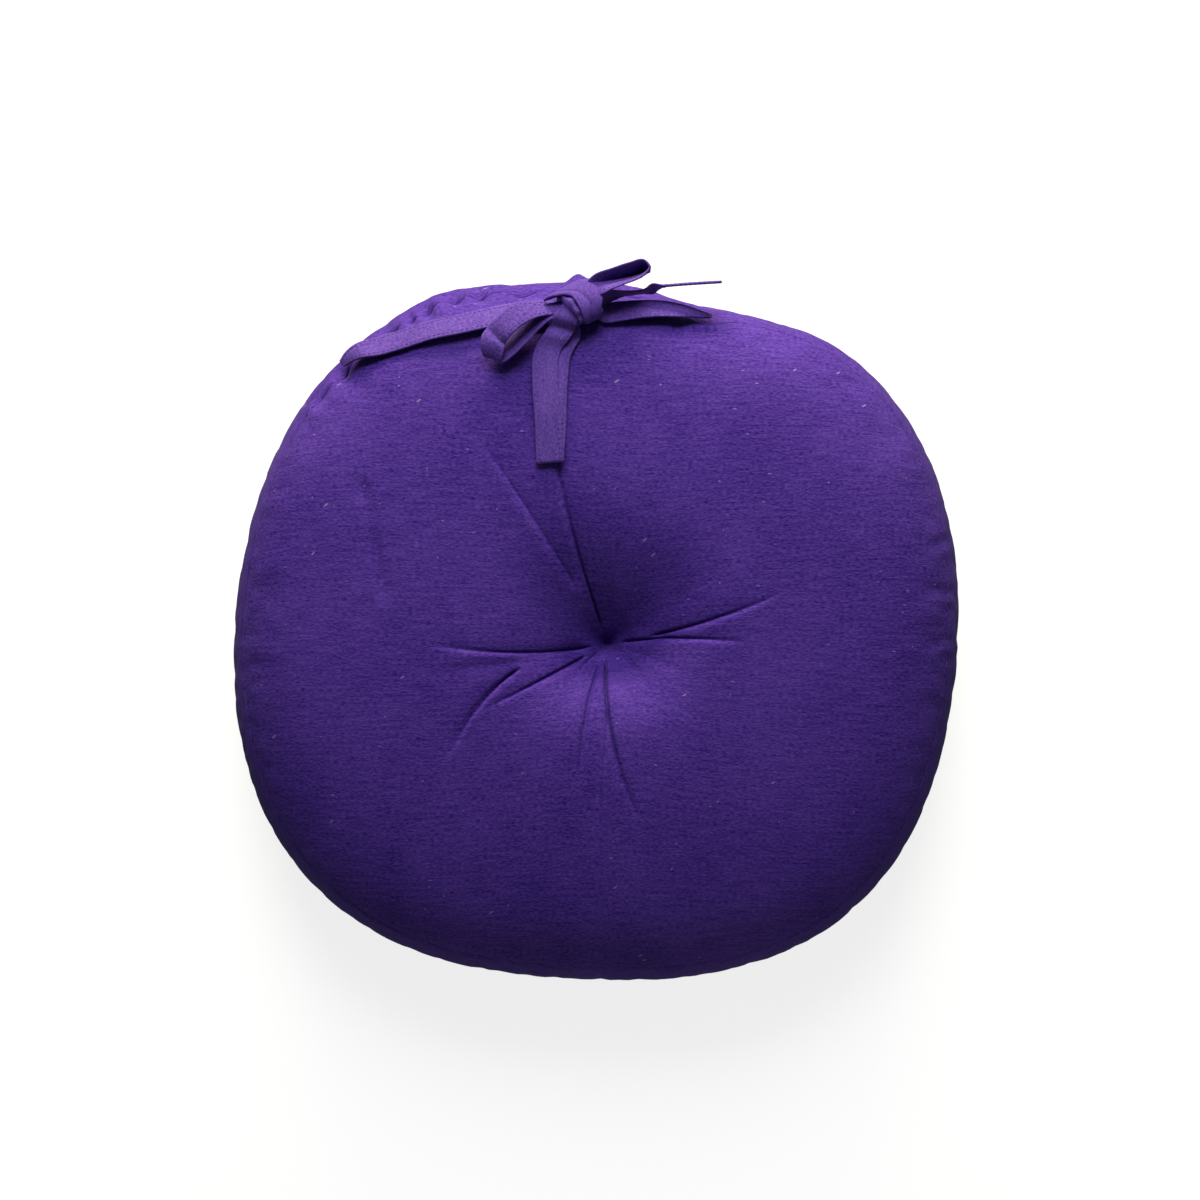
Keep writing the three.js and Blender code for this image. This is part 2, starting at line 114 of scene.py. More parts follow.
def smooth_path(points: np.ndarray, per_span: int, columns: int = 3) -> np.ndarray:
    """A smooth line through points, with even bends where they stand unevenly apart.

    Args:
        points: One point a row. The first columns are its place, and the others run along with it.
        per_span: The number of steps between two points.
        columns: How many columns are the place.

    Returns:
        The points of the line, with the same columns.
    """
    chain = np.vstack([2 * points[0] - points[1], points, 2 * points[-1] - points[-2]])
    gaps = np.sqrt(np.linalg.norm(np.diff(chain[:, :columns], axis=0), axis=1))
    share = (np.arange(per_span) / per_span)[:, None]
    line = []
    for i in range(1, len(chain) - 2):
        before, here, after, beyond = chain[i - 1 : i + 3]
        g0, g1, g2 = gaps[i - 1 : i + 2]
        leave = g1 * ((here - before) / g0 - (after - before) / (g0 + g1) + (after - here) / g1)
        arrive = g1 * ((after - here) / g1 - (beyond - here) / (g1 + g2) + (beyond - after) / g2)
        cubic = 2 * here - 2 * after + leave + arrive
        square = 3 * after - 3 * here - 2 * leave - arrive
        line.append(cubic * share**3 + square * share**2 + leave * share + here)
    return np.vstack([*line, points[-1]])


def add_object(name: str, data: bpy.types.ID) -> bpy.types.Object:
    """Links a new object with a mesh, a light or a camera to the scene.

    Args:
        name: The object's name.
        data: Its mesh, light or camera.

    Returns:
        The object.
    """
    thing = bpy.data.objects.new(name, data)
    bpy.context.scene.collection.objects.link(thing)
    return thing


def shade_smooth(mesh: bpy.types.Mesh) -> None:
    """Shades all faces of a mesh smooth."""
    mesh.polygons.foreach_set("use_smooth", np.ones(len(mesh.polygons), bool))


def new_object(name: str, points: np.ndarray, faces: list, smooth: bool = True) -> bpy.types.Object:
    """A mesh object at the origin, from points in millimetres.

    Args:
        name: The object's name.
        points: One point a row, in millimetres.
        faces: A list of corner numbers for each face.
        smooth: Whether the faces are shaded smooth.

    Returns:
        The object, linked to the scene.
    """
    mesh = bpy.data.meshes.new(name)
    mesh.from_pydata((points * MM).tolist(), [], faces)
    mesh.update()
    if smooth:
        shade_smooth(mesh)
    return add_object(name, mesh)


def evaluated_copy(thing: bpy.types.Object, name: str) -> bpy.types.Object:
    """A plain object with the mesh that an object's modifiers make, in place of that object.

    Args:
        thing: The object with modifiers.
        name: The plain object's name.

    Returns:
        The plain object.
    """
    graph = bpy.context.evaluated_depsgraph_get()
    mesh = bpy.data.meshes.new_from_object(thing.evaluated_get(graph))
    mesh.name = name
    bpy.data.objects.remove(thing)
    return add_object(name, mesh)


def surface_of(points: np.ndarray, mesh: bpy.types.Mesh) -> BVHTree:
    """The surface of a mesh, with its points in millimetres."""
    return BVHTree.FromPolygons(points.tolist(), [list(face.vertices) for face in mesh.polygons])


# Finishes

# The middle of what a noise texture gives
NOISE_MIDDLE = 0.5

# The phase of a wave texture's bands at a scale of 1, in radians a metre
WAVE_PHASE = 20.0


class NodeBench:
    """A short way to lay out the nodes of a tree."""

    def __init__(self, tree: bpy.types.NodeTree) -> None:
        """Takes the tree."""
        self.tree = tree

    def add(self, kind: str, settings: dict | None = None, **sockets: object) -> bpy.types.Node:
        """Adds a node.

        Args:
            kind: The node's type name.
            settings: The node's own properties.
            **sockets: What goes into its inputs, as for wire.

        Returns:
            The node.
        """
        node = self.tree.nodes.new(kind)
        for key, value in (settings or {}).items():
            setattr(node, key, value)
        self.wire(node, **sockets)
        return node

    def wire(self, node: bpy.types.Node, **sockets: object) -> None:
        """Links a node's inputs to other sockets, or sets their values.

        Args:
            node: The node.
            **sockets: The sockets or values, by an input's name with _ for a space, or by n and its number.
        """
        for key, value in sockets.items():
            numbered = key[0] == "n" and key[1:].isdigit()
            socket = node.inputs[int(key[1:])] if numbered else node.inputs[key.replace("_", " ")]
            if isinstance(value, bpy.types.NodeSocket):
                self.tree.links.new(value, socket)
            else:
                socket.default_value = value

    def math(self, operation: str, first: object, second: object = 0.0) -> bpy.types.NodeSocket:
        """The result of a sum on two values or sockets."""
        return self.add("ShaderNodeMath", {"operation": operation}, n0=first, n1=second).outputs[0]

    def mix(self, share: object, first: object, second: object) -> bpy.types.NodeSocket:
        """A colour at a share of the way from the first to the second."""
        node = self.add("ShaderNodeMix", {"data_type": "RGBA"}, n0=share, n6=first, n7=second)
        return node.outputs[2]

    def noise(self, place: object, scale: tuple, detail: float) -> bpy.types.NodeSocket:
        """Noise that is stretched by a different scale each way."""
        mapped = self.add("ShaderNodeMapping", Vector=place, Scale=scale).outputs[0]
        return self.add("ShaderNodeTexNoise", Vector=mapped, Scale=1.0, Detail=detail).outputs["Fac"]


class MaterialBench(NodeBench):
    """A bench for a material with a principled shader."""

    def __init__(self, name: str) -> None:
        """Starts the material.

        Args:
            name: The material's name.
        """
        self.material = bpy.data.materials.new(name)
        self.material.use_nodes = True
        super().__init__(self.material.node_tree)

    def shade(self, **sockets: object) -> None:
        """Links or sets the shader's inputs."""
        self.wire(self.tree.nodes["Principled BSDF"], **sockets)


@dataclass(frozen=True)
class Fleck:
    """A scatter of fibres or neps: one at most in each cell of a turned and stretched cell pattern.

    The share is that of the cells that hold one, and the reach is its size in a cell.
    """

    pale: bool
    scale: tuple
    turn: float
    reach: float
    share: float
    strength: float


FLECKS = (
    Fleck(pale=True, scale=(90.0, 320.0, 1.0), turn=-0.6, reach=0.15, share=0.025, strength=0.4),
    Fleck(pale=True, scale=(110.0, 340.0, 1.0), turn=0.2, reach=0.12, share=0.04, strength=0.3),
    Fleck(pale=True, scale=(260.0, 260.0, 1.0), turn=0.0, reach=0.14, share=0.02, strength=0.3),
    Fleck(pale=False, scale=(200.0, 260.0, 1.0), turn=0.1, reach=0.17, share=0.02, strength=0.75),
)


@dataclass(frozen=True)
class Cotton:
    """Plain-weave cotton: uneven yarns, long slubs, cloudy dye, pale lint and dark neps.

    Scales are repeats a metre along the weft and the warp. A share says how far a layer moves the tone
    between dark and light, and a height how far it stands out, as a share of the bump's depth.
    """

    name: str
    dark: tuple = (0.012, 0.002, 0.1, 1.0)
    light: tuple = (0.086, 0.04, 0.27, 1.0)
    lint: tuple = (0.34, 0.27, 0.42, 1.0)
    thread_pitch: float = 0.0006
    weft: tuple = (400.0, 1050.0, 1.0)
    warp: tuple = (1200.0, 600.0, 1.0)
    slub: tuple = (60.0, 520.0, 1.0)
    dye_patch: tuple = (14.0, 14.0, 1.0)
    weft_share: float = 1.3
    warp_share: float = 0.35
    slub_share: float = 0.75
    patch_share: float = 0.5
    middle_tone: float = 0.5
    yarn_detail: float = 1.0
    slub_detail: float = 2.0
    patch_detail: float = 3.0
    weft_height: float = 1.1
    warp_height: float = 0.5
    thread_height: float = 0.14
    thread_waver: float = 0.4
    bump_depth: float = 0.00016
    bump_strength: float = 0.8
    roughness: float = 0.48
    gloss: float = 0.2
    gloss_tint: tuple = (1.0, 0.8, 1.0, 1.0)
    sheen: float = 0.02
    sheen_roughness: float = 0.45
    sheen_tint: tuple = (0.85, 0.76, 1.0, 1.0)

    def material(self) -> bpy.types.Material:
        """Makes the cotton's material, which reads the cloth map.

        Returns:
            The material.
        """
        bench = MaterialBench(self.name)
        place = bench.add("ShaderNodeUVMap", {"uv_map": CLOTH_MAP}).outputs[0]
        weft = bench.noise(place, self.weft, self.yarn_detail)
        warp = bench.noise(place, self.warp, self.yarn_detail)
        layers = (
            (weft, self.weft_share),
            (warp, self.warp_share),
            (bench.noise(place, self.slub, self.slub_detail), self.slub_share),
            (bench.noise(place, self.dye_patch, self.patch_detail), self.patch_share),
        )
        tone = self.middle_tone
        for layer, share in layers:
            swing = bench.math("SUBTRACT", layer, NOISE_MIDDLE)
            tone = bench.math("ADD", tone, bench.math("MULTIPLY", swing, share))
        dyed = bench.mix(tone, self.dark, self.light)
        height = self._weave(bench, place, weft, warp)
        bump = bench.add(
            "ShaderNodeBump", Strength=self.bump_strength, Distance=self.bump_depth, Height=height
        )
        bench.shade(
            Base_Color=self._flecked(bench, place, dyed),
            Normal=bump.outputs[0],
            Roughness=self.roughness,
            Specular_IOR_Level=self.gloss,
            Specular_Tint=self.gloss_tint,
            Sheen_Weight=self.sheen,
            Sheen_Roughness=self.sheen_roughness,
            Sheen_Tint=self.sheen_tint,
        )
        return bench.material

    def _flecked(self, bench: NodeBench, place: object, dyed: object) -> bpy.types.NodeSocket:
        """The dyed colour with short pale fibres and dark neps on it.

        Args:
            bench: The material's bench.
            place: The cloth map.
            dyed: The cloth's colour.

        Returns:
            The colour with its flecks.
        """
        colour = dyed
        for fleck in FLECKS:
            turned = bench.add("ShaderNodeMapping", Vector=place, Rotation=(0.0, 0.0, fleck.turn))
            drawn = bench.add("ShaderNodeMapping", Vector=turned.outputs[0], Scale=fleck.scale)
            cells = bench.add("ShaderNodeTexVoronoi", Vector=drawn.outputs[0], Scale=1.0)
            parts = bench.add("ShaderNodeSeparateColor", Color=cells.outputs["Color"])
            chosen = bench.math("LESS_THAN", parts.outputs[0], fleck.share)
            near = bench.math("LESS_THAN", cells.outputs["Distance"], fleck.reach)
            cover = bench.math("MULTIPLY", bench.math("MULTIPLY", near, chosen), fleck.strength)
            colour = bench.mix(cover, colour, self.lint if fleck.pale else self.dark)
        return colour

    def _weave(self, bench: NodeBench, place: object, weft: object, warp: object) -> bpy.types.NodeSocket:
        """The height of the weave: threads both ways, thicker where a slub runs.

        Args:
            bench: The material's bench.
            place: The cloth map.
            weft: The slubs along the weft.
            warp: The slubs along the warp.

        Returns:
            The height, about 0 to 1.
        """
        sizes = {"Scale": FULL_TURN / (WAVE_PHASE * self.thread_pitch), "Distortion": self.thread_waver}
        threads = []
        for direction in ("X", "Y"):
            settings = {"wave_type": "BANDS", "bands_direction": direction}
            wave = bench.add("ShaderNodeTexWave", settings, Vector=place, **sizes)
            threads.append(bench.math("MULTIPLY", wave.outputs["Fac"], self.thread_height))
        thick_weft = bench.math("MULTIPLY", weft, self.weft_height)
        thick_warp = bench.math("MULTIPLY", warp, self.warp_height)
        slubs = bench.math("ADD", thick_weft, thick_warp)
        return bench.math("ADD", slubs, bench.math("ADD", *threads))


COVER_COTTON = Cotton("cover_cotton")
# The ties' cotton is lighter and pinker than the cover's. Part of that is the ties' own colour, and part is
# painted highlight standing in for the window light and gloss that the straps and loops catch
TIE_COTTON = Cotton(
    "tie_cotton",
    dark=(0.018, 0.006, 0.115, 1.0),
    light=(0.124, 0.066, 0.31, 1.0),
    weft=(620.0, 1000.0, 1.0),
    weft_share=0.9,
    slub_share=0.3,
)


@dataclass(frozen=True)
class Thread:
    """Twisted sewing thread."""

    name: str = "sewing_thread"
    colour: tuple = (0.05, 0.024, 0.155, 1.0)
    twist_scale: tuple = (900.0, 900.0, 900.0)
    twist_detail: float = 1.0
    twist_glint: float = 1.9
    roughness: float = 0.7
    gloss: float = 0.25

    def material(self) -> bpy.types.Material:
        """Makes the thread's material, mottled along its twist with painted glints.

        Returns:
            The material.
        """
        bench = MaterialBench(self.name)
        place = bench.add("ShaderNodeTexCoord").outputs["Object"]
        twist = bench.noise(place, self.twist_scale, self.twist_detail)
        # Painted glints: patches of the thread are drawn paler, as where light catches its twist
        pale = tuple(min(1.0, self.twist_glint * part) for part in self.colour)
        colour = bench.mix(twist, self.colour, pale)
        bench.shade(Base_Color=colour, Roughness=self.roughness, Specular_IOR_Level=self.gloss)
        return bench.material


@dataclass(frozen=True)
class Paper:
    """Matt white studio paper for the floor, lit from behind so that shadows on it stay faint."""

    name: str = "studio_paper"
    colour: tuple = (0.3, 0.3, 0.3, 1.0)
    glow: float = 0.8
    roughness: float = 0.95

    def material(self) -> bpy.types.Material:
        """Makes the paper's material.

        Returns:
            The material.
        """
        bench = MaterialBench(self.name)
        bench.shade(Base_Color=self.colour, Roughness=self.roughness, Specular_IOR_Level=0.0)
        bench.shade(Emission_Color=WHITE, Emission_Strength=self.glow)
        return bench.material


# Stitches


class StitchTree:
    """A node tree that lays stitches along the edges of a mesh.

    A stitch is a round grain of length 1, which the tree stretches to the stitch's length and thickness.
    """

    SEED = 11
    SIDES = 6
    RINGS = 5
    RADIUS = 0.5
    SHORTEST = 0.85
    LONGEST = 1.1

    def __init__(self) -> None:
        """Builds the tree and keeps its inputs by name."""
        self.tree = bpy.data.node_groups.new("stitches", "GeometryNodeTree")
        self.inputs: dict[str, str] = {}
        self._interface()
        self._nodes()

    def _interface(self) -> None:
        rows = [
            ("Path", "NodeSocketGeometry"),
            ("Pitch", "NodeSocketFloat"),
            ("Length", "NodeSocketFloat"),
            ("Thickness", "NodeSocketFloat"),
            ("Material", "NodeSocketMaterial"),
        ]
        for name, kind in rows:
            socket = self.tree.interface.new_socket(name=name, in_out="INPUT", socket_type=kind)
            self.inputs[name] = socket.identifier
        self.tree.interface.new_socket(name="Stitches", in_out="OUTPUT", socket_type="NodeSocketGeometry")

    def _nodes(self) -> None:
        """Lays out the nodes, from the path to the realized stitches."""
        bench = NodeBench(self.tree)
        given = bench.add("NodeGroupInput").outputs
        line = bench.add("GeometryNodeMeshToCurve", Mesh=given["Path"]).outputs[0]
        spaced = bench.add(
            "GeometryNodeResampleCurve", {"mode": "LENGTH"}, Curve=line, Length=given["Pitch"]
        )
        tangent = bench.add("GeometryNodeInputTangent").outputs[0]
        along = bench.add("FunctionNodeAlignRotationToVector", {"axis": "Z"}, Vector=tangent)
        sizes = {"Segments": self.SIDES, "Rings": self.RINGS, "Radius": self.RADIUS}
        grain = bench.add("GeometryNodeMeshUVSphere", **sizes)
        reach = {"n2": self.SHORTEST, "n3": self.LONGEST, "Seed": self.SEED}
        uneven = bench.add("FunctionNodeRandomValue", {"data_type": "FLOAT"}, **reach)
        length = bench.math("MULTIPLY", given["Length"], uneven.outputs[1])
        thick = given["Thickness"]
        stretch = bench.add("ShaderNodeCombineXYZ", n0=thick, n1=thick, n2=length)
        laid_out = bench.add(
            "GeometryNodeInstanceOnPoints",
            Points=spaced.outputs[0],
            Instance=grain.outputs["Mesh"],
            Rotation=along.outputs[0],
            Scale=stretch.outputs[0],
        )
        real = bench.add("GeometryNodeRealizeInstances", n0=laid_out.outputs[0]).outputs[0]
        finished = bench.add("GeometryNodeSetMaterial", Geometry=real, Material=given["Material"])
        bench.add("NodeGroupOutput", n0=finished.outputs[0])


@dataclass
class Stitching:
    """Runs of machine stitches in one thread, as one piece. Its sizes are in millimetres."""

    name: str
    tree: StitchTree
    material: bpy.types.Material
    pitch: float = 2.6
    length: float = 1.9
    thickness: float = 0.5

    def build(self, runs: list[np.ndarray]) -> bpy.types.Object:
        """Sews the stitches along each run.

        Args:
            runs: The points of each run, in millimetres.

        Returns:
            The stitches as one plain mesh object.
        """
        edges = []
        first = 0
        for run in runs:
            edges += [(first + i, first + i + 1) for i in range(len(run) - 1)]
            first += len(run)
        mesh = bpy.data.meshes.new(self.name + "_path")
        mesh.from_pydata((np.vstack(runs) * MM).tolist(), edges, [])
        path = add_object(mesh.name, mesh)
        sew = path.modifiers.new("sew", "NODES")
        sew.node_group = self.tree.tree
        sizes = {"Pitch": self.pitch, "Length": self.length, "Thickness": self.thickness}
        for name, size in sizes.items():
            sew[self.tree.inputs[name]] = size * MM
        sew[self.tree.inputs["Material"]] = self.material
        stitches = evaluated_copy(path, self.name)
        shade_smooth(stitches.data)
        return stitches


# Pad


@dataclass(frozen=True)
class Pull:
    """A place where the back edge is drawn in, or pressed out."""

    bearing: float
    spread: float
    out: float


@dataclass(frozen=True)
class Hollow:
    """A hollow between two lobes of the gathered back seam."""

    bearing: float
    spread: float
    depth: float


@dataclass(frozen=True)
class Crease:
    """A crease of the top panel that runs out from the tuft.

    Its bearings are those of its inner and outer ends. Its low bank is the one with the lower bearing.
    A sharpness of 1 is a folded line and 2 a soft trough. A lip above 0 raises the high bank, and below 0
    the low one. The raised bank leans over. The slit is the depth of the narrow tuck along its bottom.
    """

    inner: float
    outer: float
    start: float
    stop: float
    depth: float
    low_bank: float
    high_bank: float
    sharpness: float = 1.3
    lip: float = 0.0
    lean: float = 0.0
    slit: float = 0.0


@dataclass(frozen=True)
class Wrinkle:
    """A short wrinkle between two points of the top panel."""

    x0: float
    y0: float
    x1: float
    y1: float
    depth: float
    half_width: float


@dataclass(frozen=True)
class Ruffle:
    """A wave of the cloth around the pad: how many there are, their height, their start and their sway."""

    count: float
    height: float
    start: float = 0.0
    sway: float = 0.0
    sway_count: float = 0.0

    def at(self, angle: np.ndarray) -> np.ndarray:
        """The wave's height at angles about the tuft, in radians."""
        swayed = self.count * angle + self.start + self.sway * np.sin(self.sway_count * angle)
        return self.height * np.sin(swayed)


@dataclass(frozen=True)
class SectionRows:
    """The rows of a section of the pad: how many each part has, and at which shares they start and end.

    A spread other than 1 sets the rows closer together at the start or at the end of their part.
    """

    innermost: float = 0.006
    tuft: int = 42
    tuft_end: float = 0.306
    tuft_spread: float = 1.15
    crown: int = 43
    crown_end: float = 0.86
    shoulder: int = 26
    band: int = 30
    edge: int = 10
    edge_spread: float = 0.9
    under: int = 18
    under_end: float = 0.03

    def shares(self) -> tuple[np.ndarray, np.ndarray, np.ndarray, np.ndarray]:
        """The places of the rows.

        Returns:
            Shares of the top panel, the side band, the rounded lower edge and the underside.
        """
        reach = self.tuft_end - self.innermost
        tuft = self.innermost + reach * (np.arange(self.tuft) / self.tuft) ** self.tuft_spread
        crown = np.linspace(self.tuft_end, self.crown_end, self.crown, endpoint=False)
        shoulder = 1.0 - np.linspace(math.sqrt(1.0 - self.crown_end), 0.0, self.shoulder) ** 2
        band = 0.5 - 0.5 * np.cos(np.pi * np.linspace(0.0, 1.0, self.band + 1)[1:])
        edge = np.linspace(0.0, 1.0, self.edge + 1)[1:] ** self.edge_spread
        under = np.linspace(1.0, self.under_end, self.under)
        return np.concatenate([tuft, crown, shoulder]), band, edge, under


@dataclass(frozen=True)
class Swelling:
    """How the filling presses the cover out, simulated as cloth under pressure. Lengths are millimetres.

    The seams, the tuft's thread and the floor hold the cloth within their reach. The cloth is cut with some
    to spare, and a share of the folds that come out of the simulation is laid on the modelled form.
    """

    limit: float = 3.0
    pressure: float = 30.0
    frames: int = 20
    spare_cloth: float = 0.05
    fold_share: float = 0.3
    seam_hold: float = 8.0
    tuft_hold: float = 26.0
    floor_hold: float = 6.0
    pin_from: float = 0.5
    voxel: float = 5.0
    every_section: int = 4
    every_row: int = 3
    quality: int = 6
    mass: float = 0.3
    stiffness: float = 8.0
    bending: float = 0.5

    def thinned(self, grid: np.ndarray) -> np.ndarray:
        """A grid of the cover with fewer sections and rows."""
        return grid[:: self.every_section, :: self.every_row]


BACK_EDGE = (
    Pull(70, 13, -9),
    Pull(78, 5, -2.5),
    Pull(85, 11, -4),
    Pull(100, 9, -5),
    Pull(116, 5, 2),
)

HOLLOWS = (
    Hollow(72.6, 3.2, 6.0),
    Hollow(77.0, 0.9, 2.6),
    Hollow(86.0, 2.0, 2.0),
    Hollow(103.6, 1.6, 4.0),
    Hollow(110.0, 1.1, 5.0),
    Hollow(113.8, 1.2, 5.2),
    Hollow(118.4, 1.2, 5.6),
    Hollow(121.2, 0.8, 4.0),
    Hollow(125.3, 1.3, 6.0),
    Hollow(129.4, 1.0, 3.0),
    Hollow(134.4, 1.4, 5.6),
    Hollow(139.0, 1.5, 2.8),
)

CREASES = (
    Crease(111, 104.6, 4, 122, 5.0, 11.0, 2.0, 1.0, 1.2, 1.2, 3.2),
    Crease(193, 181, 6, 92, 3.4, 5.0, 1.8, 1.0, 0.6, 0.6, 2.2),
    Crease(194, 190, 10, 95, 2.0, 3.0, 5.0, 1.5),
    Crease(212, 209, 12, 72, 2.4, 4.0, 1.8, 1.0, 0.5, 0.5, 2.6),
    Crease(197, 217, 47, 106, 2.4, 4.0, 1.7, 1.0, 0.5, 0.5, 2.8),
    Crease(222, 228, 6, 30, 1.6, 2.6, 1.8, 1.2, 0.0, 0.0, 1.2),
    Crease(240, 243, 6, 30, 1.4, 2.4, 2.0, 1.3),
    Crease(249, 260, 8, 80, 1.8, 3.0, 2.0, 1.2, 0.3, 0.0, 2.2),
    Crease(265.5, 280, 6, 95, 3.0, 3.4, 2.0, 1.0, 0.5, 0.4, 3.2),
    Crease(270, 269, 36, 66, 0.6, 2.0, 2.0, 1.5, 0.0, 0.0, 0.8),
    Crease(294, 292, 6, 40, 1.2, 2.6, 2.6, 1.5),
    Crease(320, 308, 8, 42, 1.2, 2.8, 2.8, 1.5),
    Crease(342, 338, 8, 46, 1.0, 2.4, 3.0, 1.5),
    Crease(5, -0.5, 6, 72, 3.0, 1.8, 5.0, 1.0, -0.5, 0.5, 2.6),
    Crease(8, 15.5, 22, 94, 2.4, 2.2, 6.0, 1.0, -0.4, 0.4, 2.4),
    Crease(30, 32, 14, 80, 1.0, 5.0, 7.0, 1.8),
    Crease(120, 122.5, 30, 130, 2.4, 6.0, 2.4, 1.1, 0.4, 0.4, 0.6),
)

WRINKLES = (
    Wrinkle(-124, 76, -120, 51, 2.0, 1.6),
    Wrinkle(-119, 52, -112, 8, 2.5, 1.6),
)

# Fine gathers at the seam, stronger in some places, and soft puffs of the top panel beside it
GATHERS = (
    Ruffle(83, 0.16, sway=2.0, sway_count=5),
    Ruffle(131, 0.096, start=1.0),
)
GATHER_STRENGTH = Ruffle(3, 0.5, start=0.7)
PUFFS = (
    Ruffle(43, 0.3, sway=1.6, sway_count=6),
    Ruffle(29, 0.21, start=2.0),
)


@dataclass
class PadForm:
    """The pad's sizes in millimetres, and the surface that they give.

    The outline has waves: one to four go around the pad, each with its height and the bearing of a crest.
    Shares and spreads of the tuft, the underside and the hollow are parts of the way to the seam.
    """

    tuft: tuple[float, float] = (5.9, -11.3)
    edge_radius_mean: float = 202.5
    edge_offset: tuple[float, float] = (12.2, 117.0)
    edge_oval: tuple[float, float] = (2.0, 5.0)
    edge_three: tuple[float, float] = (2.0, -36.0)
    edge_square: tuple[float, float] = (5.2, 40.0)
    seam_height: float = 50.0
    bottom_seam_height: float = 12.0
    crown_rise: float = 14.0
    shoulder_rise: float = 18.0
    shoulder_power: float = 10.0
    tuft_dip: float = 13.0
    tuft_dip_front: float = 0.12
    tuft_dip_back: float = 0.24
    tuft_depth: float = 31.0
    tuft_reach: float = 0.1
    band_bulge: float = 9.0
    rest_share: float = 0.88
    hollow_share: float = 0.4
    hollow_depth: float = 14.0
    hollow_power: float = 1.7
    lower_edge_power: float = 2.2
    knot_fold: Pull = Pull(94.5, 2.0, 8.0)
    knot_fold_from: float = 0.9
    knot_fold_to: float = 0.45

    def edge_radius(self, bearing: np.ndarray) -> np.ndarray:
        """Distance from the tuft to the widest line of the side band.

        Args:
            bearing: Bearings, in degrees.

        Returns:
            The distances.
        """
        radius = np.full_like(bearing, self.edge_radius_mean)
        waves = (self.edge_offset, self.edge_oval, self.edge_three, self.edge_square)
        for count, (size, start) in enumerate(waves, 1):
            radius += size * np.cos(np.radians(count * (bearing - start)))
        for pull in BACK_EDGE:
            radius += pull.out * bell(turn_between(pull.bearing, bearing), pull.spread)
        return radius

    def seam_radius(self, bearing: np.ndarray) -> np.ndarray:
        """Distance from the tuft to the top seam."""
        return self.edge_radius(bearing) - self.band_bulge

    def top_height(self, bearing: np.ndarray, share: np.ndarray) -> np.ndarray:
        """Height of the top panel without its creases.

        Args:
            bearing: Bearings, in degrees.
            share: Shares of the way from the tuft to the seam.

        Returns:
            The heights above the floor.
        """
        dome = self.crown_rise * (1.0 - share**2)
        dome = dome + self.shoulder_rise * (1.0 - share**self.shoulder_power)
        towards_back = 0.5 + 0.5 * np.sin(np.radians(bearing))
        dip = self.tuft_dip * bell(share, lerp(self.tuft_dip_front, self.tuft_dip_back, towards_back))
        return self.seam_height + dome - dip - self.tuft_depth * np.exp(-share / self.tuft_reach)

    def drawn_in(self, bearing: np.ndarray) -> np.ndarray:
        """How far the gathers draw the back seam in.

        Args:
            bearing: Bearings, in degrees.

        Returns:
            The depths of the hollows.
        """
        depth = np.zeros_like(bearing)
        for hollow in HOLLOWS:
            depth += hollow.depth * bell(turn_between(hollow.bearing, bearing), hollow.spread)
        return depth


